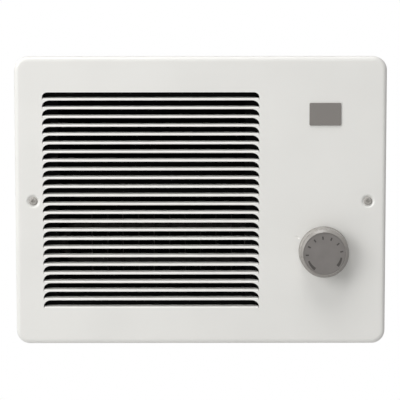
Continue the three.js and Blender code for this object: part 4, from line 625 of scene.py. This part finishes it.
def badge():
    """A blank plate with a bevelled front edge, and its two pins."""
    bm = bmesh.new()
    loops = []
    for inset, y in BADGE_LEVELS:
        outline = rounded_rectangle(*(size - inset for size in BADGE_SIZE), steps=5)
        loops.append(loop_at(bm, outline, y, BADGE_AT))
    skin(bm, loops)
    bm.faces.new(loops[-1])
    bm.faces.new(loops[0])
    for x, z in BADGE_PINS:
        lathe(bm, PIN_PROFILE, (x, 0, z), sides=16)
    bmesh.ops.recalc_face_normals(bm, faces=bm.faces)
    finished("badge_plate_blank", bm, "badge_grey", "housing", ["badge_plate"])


badge()


# ---------------------------------------------------------------- screws

SCREW_SIDES = 48
HEAD_CURVE = ((1, 1), (1, 0.45), (0.93, 0.2), (0.8, 0.06), (0.68, 0))  # of the head's radius and height
SLOT_REACH = 0.5  # of the head's radius
SLOT_HALF = 0.13  # of the head's radius
SLOT_DEPTH = 0.55  # of the head's height
SLOT_FLOOR = 0.6  # of the slot's size
THREAD_PITCH = 0.8
THREAD_ROWS = 6  # in one turn
THREAD_RUN_IN = 4  # rows
THREAD_DEPTH = 0.144  # of the thread's radius
TIP_LENGTH = 0.8  # of the shank's radius
TIP_RADIUS = 0.55  # of the shank's radius


def cross_outline(reach, half):
    """A plus sign in (x, z), anticlockwise."""
    arm = [(reach, -half), (reach, half), (half, half)]
    points = []
    for _ in range(4):
        points += arm
        arm = [(-z, x) for x, z in arm]
    return points


def screw_head(bm, radius, height):
    """A domed head with a cross slot, from y = 0 back. Gives the loop of its underside."""
    rows = [loop_at(bm, circle(radius * across, SCREW_SIDES), height * along)
            for across, along in HEAD_CURVE]
    skin(bm, rows)
    cross = cross_outline(radius * SLOT_REACH, radius * SLOT_HALF)
    slot = loop_at(bm, cross, 0)
    filled(bm, rows[-1], [slot])
    floor = loop_at(bm, [(x * SLOT_FLOOR, z * SLOT_FLOOR) for x, z in cross], height * SLOT_DEPTH)
    skin(bm, [slot, floor])
    bm.faces.new(floor)
    return rows[0]


def thread_row(bm, along, crest, depth):
    """The vertices round a thread at one distance, between its crest and a share of that below it."""
    row = []
    for i in range(SCREW_SIDES):
        phase = (along / THREAD_PITCH - i / SCREW_SIDES) % 1
        radius = crest * (1 - depth * abs(2 * phase - 1))
        angle = TAU * i / SCREW_SIDES
        row.append(bm.verts.new((radius * math.cos(angle), along, radius * math.sin(angle))))
    return row


def screw(name, node, look, shank, head, axis="y"):
    """A cross-slot screw in a CAD screw's place, with a helical thread and a head of given height."""
    middle, low, high = box_of(node)
    across, along = {"x": (1, 0), "y": (0, 1)}[axis]
    length = high[along] - low[along]
    bm = bmesh.new()
    rows = [screw_head(bm, (high[across] - low[across]) / 2, head)]
    rows.append(loop_at(bm, circle(shank, SCREW_SIDES), head))
    steps = int((length - head) / THREAD_PITCH * THREAD_ROWS)
    for k in range(1, steps + 1):
        distance = head + (length - head) * k / steps
        depth = THREAD_DEPTH * min(k / THREAD_RUN_IN, 1)
        taper = min((length - distance) / (shank * TIP_LENGTH), 1)
        rows.append(thread_row(bm, distance, shank * (TIP_RADIUS + (1 - TIP_RADIUS) * taper), depth))
    skin(bm, rows)
    bm.faces.new(rows[-1])
    bmesh.ops.recalc_face_normals(bm, faces=bm.faces)
    start = Vector((middle[0], low[1], middle[2]))
    if axis == "x":
        bmesh.ops.transform(bm, matrix=Matrix.Rotation(QUARTER_TURN, 4, "Z"), verts=bm.verts)
        start = Vector((high[0], middle[1], middle[2]))
    bmesh.ops.transform(bm, matrix=Matrix.Translation(start), verts=bm.verts)
    finished(name, bm, look, "housing", [node], sharp=38)


for word in ("left", "right"):
    screw(f"panel_screw_{word}", f"grille_screw_{word}", "dull_zinc", shank=2.0, head=1.4)
for word in ("top_left", "top_right", "bottom_left", "bottom_right"):
    screw(f"sheet_screw_{word}", f"chassis_screw_{word}", "screw_steel", shank=1.7, head=1.8)
screw("ground_screw_green", "ground_screw", "green_screw", shank=2.2, head=2.6)
for word in ("front", "back"):
    screw(f"long_motor_screw_{word}", f"motor_screw_{word}", "screw_steel", shank=1.5, head=2.0, axis="x")


# ---------------------------------------------------------------- knob

KNOB_ORIGIN = (KNOB_AT[0], 0, KNOB_AT[1])
KNOB_BACK = -13.8
KNOB_FRONT = -32.3
KNOB_SIDES = 192
SKIRT_RADIUS = 22.2
SKIRT_FRONT = -15.3
SKIRT_EDGE = 0.25
KNOB_RADIUS = 21.7
SIDE_START = SKIRT_FRONT - 0.6
SIDE_STEPS = 4
SIDE_DRAFT = 0.1
RING_STEPS = 4
RING_INNER = 18.85
RING_DEPTH = 2.1
RING_CROWN = 0.1
HOLLOW_RADIUS = 19.0
HUB_RADIUS = 7.0
BORE_RADIUS = 3.5
DIAL_SEAT = -31.4
HOLLOW_FRONT = DIAL_SEAT + 2.2

DIAL_RADIUS = 18.6
DIAL_BACK = DIAL_SEAT - 0.05
DIAL_FACE = -31.95
DIAL_SIDES = 96

SCALE_AT = (KNOB_AT[0], KNOB_AT[1] - 1.3)  # the scale's centre, a little below the dial's
TICKS = 7
TICK_FIRST = 12  # degrees
TICK_STEP = 28  # degrees
TICK_ENDS = (14.0, 16.8)
TICK_HALF = 0.65  # of its width
STROKES = ((200, 236), (-8, -40))  # (thin end, thick end) in degrees
STROKE_RADIUS = 14.9
STROKE_HALVES = (0.75, 1.35)  # of its width at the thin end and at the thick one
STROKE_STEPS = 8
INK_LEVELS = (DIAL_FACE + 0.02, DIAL_FACE - 0.05)


def knob_body():
    """A smooth side with a little draft, and a crowned ring round the dial's recess."""
    bm = bmesh.new()
    profile = [(SKIRT_RADIUS - SKIRT_EDGE, KNOB_BACK), (SKIRT_RADIUS, KNOB_BACK - SKIRT_EDGE),
               (SKIRT_RADIUS, SKIRT_FRONT + 0.2), (SKIRT_RADIUS - 0.15, SKIRT_FRONT),
               (KNOB_RADIUS + 0.1, SKIRT_FRONT - 0.15), (KNOB_RADIUS, SIDE_START)]
    shoulder = KNOB_FRONT + RING_DEPTH
    for i in range(1, SIDE_STEPS + 1):
        share = i / SIDE_STEPS
        profile.append((KNOB_RADIUS - SIDE_DRAFT * share, SIDE_START + (shoulder - SIDE_START) * share))
    profile += [(KNOB_RADIUS - 0.2, shoulder - 0.18), (KNOB_RADIUS - 0.42, shoulder - 0.32)]
    outer, start = profile[-1]
    inner, end = RING_INNER + 0.3, KNOB_FRONT + 0.06
    for i in range(1, RING_STEPS + 1):
        share = i / RING_STEPS
        crown = RING_CROWN * math.sin(math.pi * share)
        profile.append((outer + (inner - outer) * share, start + (end - start) * share - crown))
    profile += [(RING_INNER + 0.12, KNOB_FRONT), (RING_INNER, KNOB_FRONT + 0.05),
                (RING_INNER - 0.08, KNOB_FRONT + 0.15), (RING_INNER - 0.1, DIAL_SEAT), (0, DIAL_SEAT)]
    lathe(bm, profile, KNOB_ORIGIN, sides=KNOB_SIDES)
    behind = [(SKIRT_RADIUS - SKIRT_EDGE, KNOB_BACK), (HOLLOW_RADIUS, KNOB_BACK),
              (HOLLOW_RADIUS, HOLLOW_FRONT - 1.2), (HOLLOW_RADIUS - 0.5, HOLLOW_FRONT),
              (HUB_RADIUS + 0.4, HOLLOW_FRONT), (HUB_RADIUS, HOLLOW_FRONT + 0.4),
              (HUB_RADIUS, KNOB_BACK), (BORE_RADIUS, KNOB_BACK),
              (BORE_RADIUS, HOLLOW_FRONT - 0.1), (0, HOLLOW_FRONT - 0.1)]
    lathe(bm, behind, KNOB_ORIGIN, sides=KNOB_SIDES)
    closed_up(bm)
    finished("knob_body", bm, "knob_grey", "knob", ["thermostat_knob"], sharp=38)


def dial_disc():
    bm = bmesh.new()
    profile = [(0, DIAL_BACK), (DIAL_RADIUS - 0.1, DIAL_BACK), (DIAL_RADIUS, DIAL_BACK - 0.1),
               (DIAL_RADIUS, DIAL_FACE + 0.12), (DIAL_RADIUS - 0.15, DIAL_FACE), (0, DIAL_FACE)]
    lathe(bm, profile, KNOB_ORIGIN, sides=DIAL_SIDES)
    closed_up(bm)
    finished("dial_disc", bm, "dial_grey", "knob", ["knob_dial_face"])


def dial_marks():
    """Plain ticks round the dial and, at each end of the scale, a stroke that swells."""
    bm = bmesh.new()
    for i in range(TICKS):
        printed(bm, tick(math.radians(TICK_FIRST + TICK_STEP * i)))
    for first, last in STROKES:
        printed(bm, stroke(first, last))
    bmesh.ops.recalc_face_normals(bm, faces=bm.faces)
    finished("dial_marks", bm, "dial_ink", "knob")


def tick(angle):
    """The outline of a mark across the scale's arc."""
    inner, outer = TICK_ENDS
    return turned([(inner, -TICK_HALF), (outer, -TICK_HALF), (outer, TICK_HALF), (inner, TICK_HALF)], angle)


def stroke(first, last):
    """The outline of a mark along the scale's arc, from a thin end to a thick one."""
    thin, thick = STROKE_HALVES
    inner, outer = [], []
    for i in range(STROKE_STEPS + 1):
        share = i / STROKE_STEPS
        angle = math.radians(first + (last - first) * share)
        half = thin + (thick - thin) * share
        for side, radius in ((inner, STROKE_RADIUS - half), (outer, STROKE_RADIUS + half)):
            side.append((radius * math.cos(angle), radius * math.sin(angle)))
    return inner + outer[::-1]


def printed(bm, outline):
    """A thin raised print on the dial, from its outline about the scale's centre."""
    loops = [loop_at(bm, outline, y, SCALE_AT) for y in INK_LEVELS]
    skin(bm, loops)
    for loop in loops:
        bm.faces.new(loop)


knob_body()
dial_disc()
dial_marks()


# ---------------------------------------------------------------- finishes of the other CAD nodes

FINISHES = {
    "zinc_steel": ["can_wrapper", "can_end_left", "can_end_right", "wiring_partition", "knockout_blank",
                   "thermostat_frame"],
    # Painted shade: the inner pieces seen through the louvres are made near-black to stand in for the shade
    # inside the case.
    "black_enamel": ["heater_chassis", "blower_scroll", "blower_cutoff", "blower_end_left",
                     "blower_end_right", "blower_wheel"],
    "spring_steel": ["knob_spring_clip", "grille_nut_left", "grille_nut_right", "idle_axle",
                     "arm_pivot_pin"],
    "laminated_steel": ["motor_rotor", "motor_stator"],
    # Painted shade: the element and the motor shaft are darkened almost to black to stand in for the shade
    # seen through the louvres.
    "element_steel": ["element_sheath", "element_fins", "element_clip", "motor_shaft"],
    "aluminium": ["motor_bracket_inner", "motor_bracket_outer"],
    "brass": ["element_terminal_upper", "element_terminal_lower", "thermostat_nut",
              "thermostat_spindle", "terminal_line", "terminal_load"],
    "bronze": ["idle_bearing", "contact_arm"],
    "rubber": ["lead_grommet", "bearing_grommet"],
    "phenolic": ["thermostat_base", "limit_thermostat"],
    "ceramic": ["element_bushing_upper", "element_bushing_lower"],
    "winding_tape": ["motor_coil"],
    "black_lead": ["supply_lead_line", "motor_lead_front"],
    "white_lead": ["supply_lead_neutral", "motor_lead_back"],
    "red_lead": ["limit_lead", "element_lead"],
}

# The nodes that keep their CAD mesh.
PLAIN = ["blower_wheel", "heater_chassis", "supply_lead_line", "supply_lead_neutral", "limit_lead",
         "element_lead", "motor_lead_front", "motor_lead_back"]

ROUND_EDGES = 0.2
SHARP_EDGE = math.radians(42)
CAN_SHEET = 1
FOLD_OUTSIDE = 1.6
FOLD_INSIDE = 0.6
FOLD_NEAR = 0.05  # how near to a fold's line its edges are
SPLIT_POINT = 1e-3  # how near the CAD mesh's split corners are
CROWDED_POINT = 0.01  # how near points stand that a bevel leaves in a narrow corner


def bevelled(bm, edges, width, segments):
    """Rounds edges off."""
    bmesh.ops.bevel(bm, geom=edges, offset=width, offset_type="OFFSET", segments=segments, profile=0.5,
                    affect="EDGES", clamp_overlap=True)


def folds(bm, depth, height):
    """The edges along X at one distance behind the wall and one height above or below the middle."""
    return [e for e in bm.edges
            if all(abs(v.co.y - depth) < FOLD_NEAR and abs(abs(v.co.z) - height) < FOLD_NEAR
                   for v in e.verts)]


def softened(node, look):
    """A CAD piece's shape with its cut edges rounded and, on the wrapper, its folds bent."""
    solid = frame["nodes"][node]
    bm = bmesh.new()
    bm.from_mesh(solid.data)
    bmesh.ops.transform(bm, matrix=Matrix.Scale(1 / MM, 4), verts=bm.verts)
    bmesh.ops.remove_doubles(bm, verts=bm.verts, dist=SPLIT_POINT)
    bmesh.ops.dissolve_limit(bm, angle_limit=math.radians(1), verts=bm.verts, edges=bm.edges)
    if node == "can_wrapper":
        depth, height = box_of(node)[2].yz
        bevelled(bm, folds(bm, depth, height), FOLD_OUTSIDE, 4)
        bevelled(bm, folds(bm, depth - CAN_SHEET, height - CAN_SHEET), FOLD_INSIDE, 3)
    sharp = [e for e in bm.edges if len(e.link_faces) == 2 and e.calc_face_angle(0) > SHARP_EDGE]
    bevelled(bm, sharp, ROUND_EDGES, 2)
    bmesh.ops.remove_doubles(bm, verts=bm.verts, dist=CROWDED_POINT)
    bmesh.ops.triangulate(bm, faces=bm.faces, quad_method="BEAUTY", ngon_method="BEAUTY")
    bmesh.ops.dissolve_degenerate(bm, dist=CROWDED_POINT / 2, edges=bm.edges)
    bmesh.ops.triangulate(bm, faces=bm.faces)
    finished(f"fine_{node}", bm, look, solid.parent.name.split(":")[1], [node], sharp=40)


for look, nodes in FINISHES.items():
    for node in nodes:
        if node in PLAIN:
            for socket in frame["nodes"][node].material_slots:
                socket.material = LOOKS[look]
        else:
            softened(node, look)


# ---------------------------------------------------------------- spot welds

CAN_BACK = 95
CAN_TOP = 107
WELD_X = 137.5
WELD_DEPTHS = (14, 46, 78)
WELD_HEIGHTS = (-78, -26, 26, 78)
WELD_PROFILE = ((0, -0.1), (2.5, -0.1), (2.4, 0.01), (2.1, 0.05), (1.8, 0.05), (1.5, 0.015),
                (0, 0.01))  # (radius, height over the sheet)
WELD_SIDES = 32


def spot_welds():
    """Shallow ringed marks where the can's ends are welded inside its wrapper."""
    bm = bmesh.new()
    under = [(radius, -height) for radius, height in WELD_PROFILE]
    for x in (-WELD_X, WELD_X):
        for y in WELD_DEPTHS:
            lathe(bm, WELD_PROFILE, (x, y, CAN_TOP), "z", WELD_SIDES)
            lathe(bm, under, (x, y, -CAN_TOP), "z", WELD_SIDES)
        for z in WELD_HEIGHTS:
            lathe(bm, WELD_PROFILE, (x, CAN_BACK, z), "y", WELD_SIDES)
    closed_up(bm)
    finished("spot_welds", bm, "zinc_steel", "housing")


spot_welds()


# ---------------------------------------------------------------- floor, light and camera

# Lengths are metres from here on.

FLOOR_Z = -0.42
FLOOR_GREY = (0.8, 0.8, 0.8, 1)
FLOOR_SIZE = 6
SHADOW_NEAR = 0.5  # the floor's own grey shows up to here
SHADOW_FAR = 1.0  # and plain white from here on
WHITE = (1, 1, 1, 1)

LAMP_DISTANCE = 2.8

CAMERA_DISTANCE = 1.8
CAMERA_ELEVATION = math.radians(6.5)
CAMERA_ROLL = math.radians(0.05)
CAMERA_TARGET = (-0.0005, -0.013, 0.0011)
FOCAL_PIXELS = 2023
PICTURE_PIXELS = 400
SENSOR = 36


def floor():
    """A grey floor that holds the shadow and turns white, for the camera and in mirrors, further out."""
    bm = bmesh.new()
    bmesh.ops.create_grid(bm, x_segments=8, y_segments=8, size=FLOOR_SIZE)
    bmesh.ops.translate(bm, verts=bm.verts, vec=(0, 0, FLOOR_Z))
    mesh = bpy.data.meshes.new("floor")
    bm.to_mesh(mesh)
    bm.free()
    ground = bpy.data.objects.new("floor", mesh)
    bpy.context.collection.objects.link(ground)
    material = bpy.data.materials.new("floor")
    material.use_nodes = True
    tree = material.node_tree
    tree.nodes.clear()
    far = added(tree, "VectorMath", "LENGTH")
    reach = added(tree, "MapRange", From_Min=SHADOW_NEAR, From_Max=SHADOW_FAR)
    share = added(tree, "Math", "MULTIPLY")
    tree.links.new(added(tree, "TexCoord").outputs["Object"], far.inputs[0])
    tree.links.new(far.outputs["Value"], reach.inputs["Value"])
    tree.links.new(ray_is(tree, "Is Camera Ray", "Is Glossy Ray"), share.inputs[0])
    tree.links.new(reach.outputs["Result"], share.inputs[1])
    blended(tree, share.outputs[0], added(tree, "BsdfDiffuse", Color=FLOOR_GREY),
            added(tree, "Emission", Strength=1), added(tree, "OutputMaterial"))
    mesh.materials.append(material)


def world(strength):
    """Soft light all round, which the camera, mirrors and glass see as plain white."""
    sky = bpy.data.worlds.new("studio")
    bpy.context.scene.world = sky
    sky.use_nodes = True
    tree = sky.node_tree
    tree.nodes.clear()
    seen = ray_is(tree, "Is Camera Ray", "Is Glossy Ray", "Is Transmission Ray")
    blended(tree, seen, added(tree, "Background", Color=WHITE, Strength=strength),
            added(tree, "Background", Color=WHITE, Strength=1), added(tree, "OutputWorld"))


def softbox(name, direction, size, level):
    """An area lamp that gives a facing white surface this share of full brightness."""
    lamp = bpy.data.lights.new(name, "AREA")
    lamp.shape = "SQUARE"
    lamp.size = size
    lamp.energy = level * (math.pi * LAMP_DISTANCE) ** 2
    rig = bpy.data.objects.new(name, lamp)
    bpy.context.collection.objects.link(rig)
    away = Vector(direction).normalized()
    rig.location = away * LAMP_DISTANCE
    rig.rotation_mode = "QUATERNION"
    rig.rotation_quaternion = (-away).to_track_quat("-Z", "Y")


def camera():
    data = bpy.data.cameras.new("camera")
    data.sensor_width = SENSOR
    data.lens = FOCAL_PIXELS / PICTURE_PIXELS * SENSOR
    data.clip_start = 0.05
    data.clip_end = 50
    rig = bpy.data.objects.new("camera", data)
    bpy.context.collection.objects.link(rig)
    back = Vector((0, -math.cos(CAMERA_ELEVATION), math.sin(CAMERA_ELEVATION)))
    rig.location = Vector(CAMERA_TARGET) + back * CAMERA_DISTANCE
    rig.rotation_mode = "QUATERNION"
    roll = Matrix.Rotation(CAMERA_ROLL, 4, -back).to_quaternion()
    rig.rotation_quaternion = roll @ (-back).to_track_quat("-Z", "Y")
    bpy.context.scene.camera = rig


floor()
world(0.19)
softbox("key", (-0.7, -0.68, 0.36), size=1.9, level=0.6)
softbox("top", (-0.15, -0.33, 0.93), size=1.6, level=0.6)
camera()
bpy.context.scene.view_settings.view_transform = "Standard"
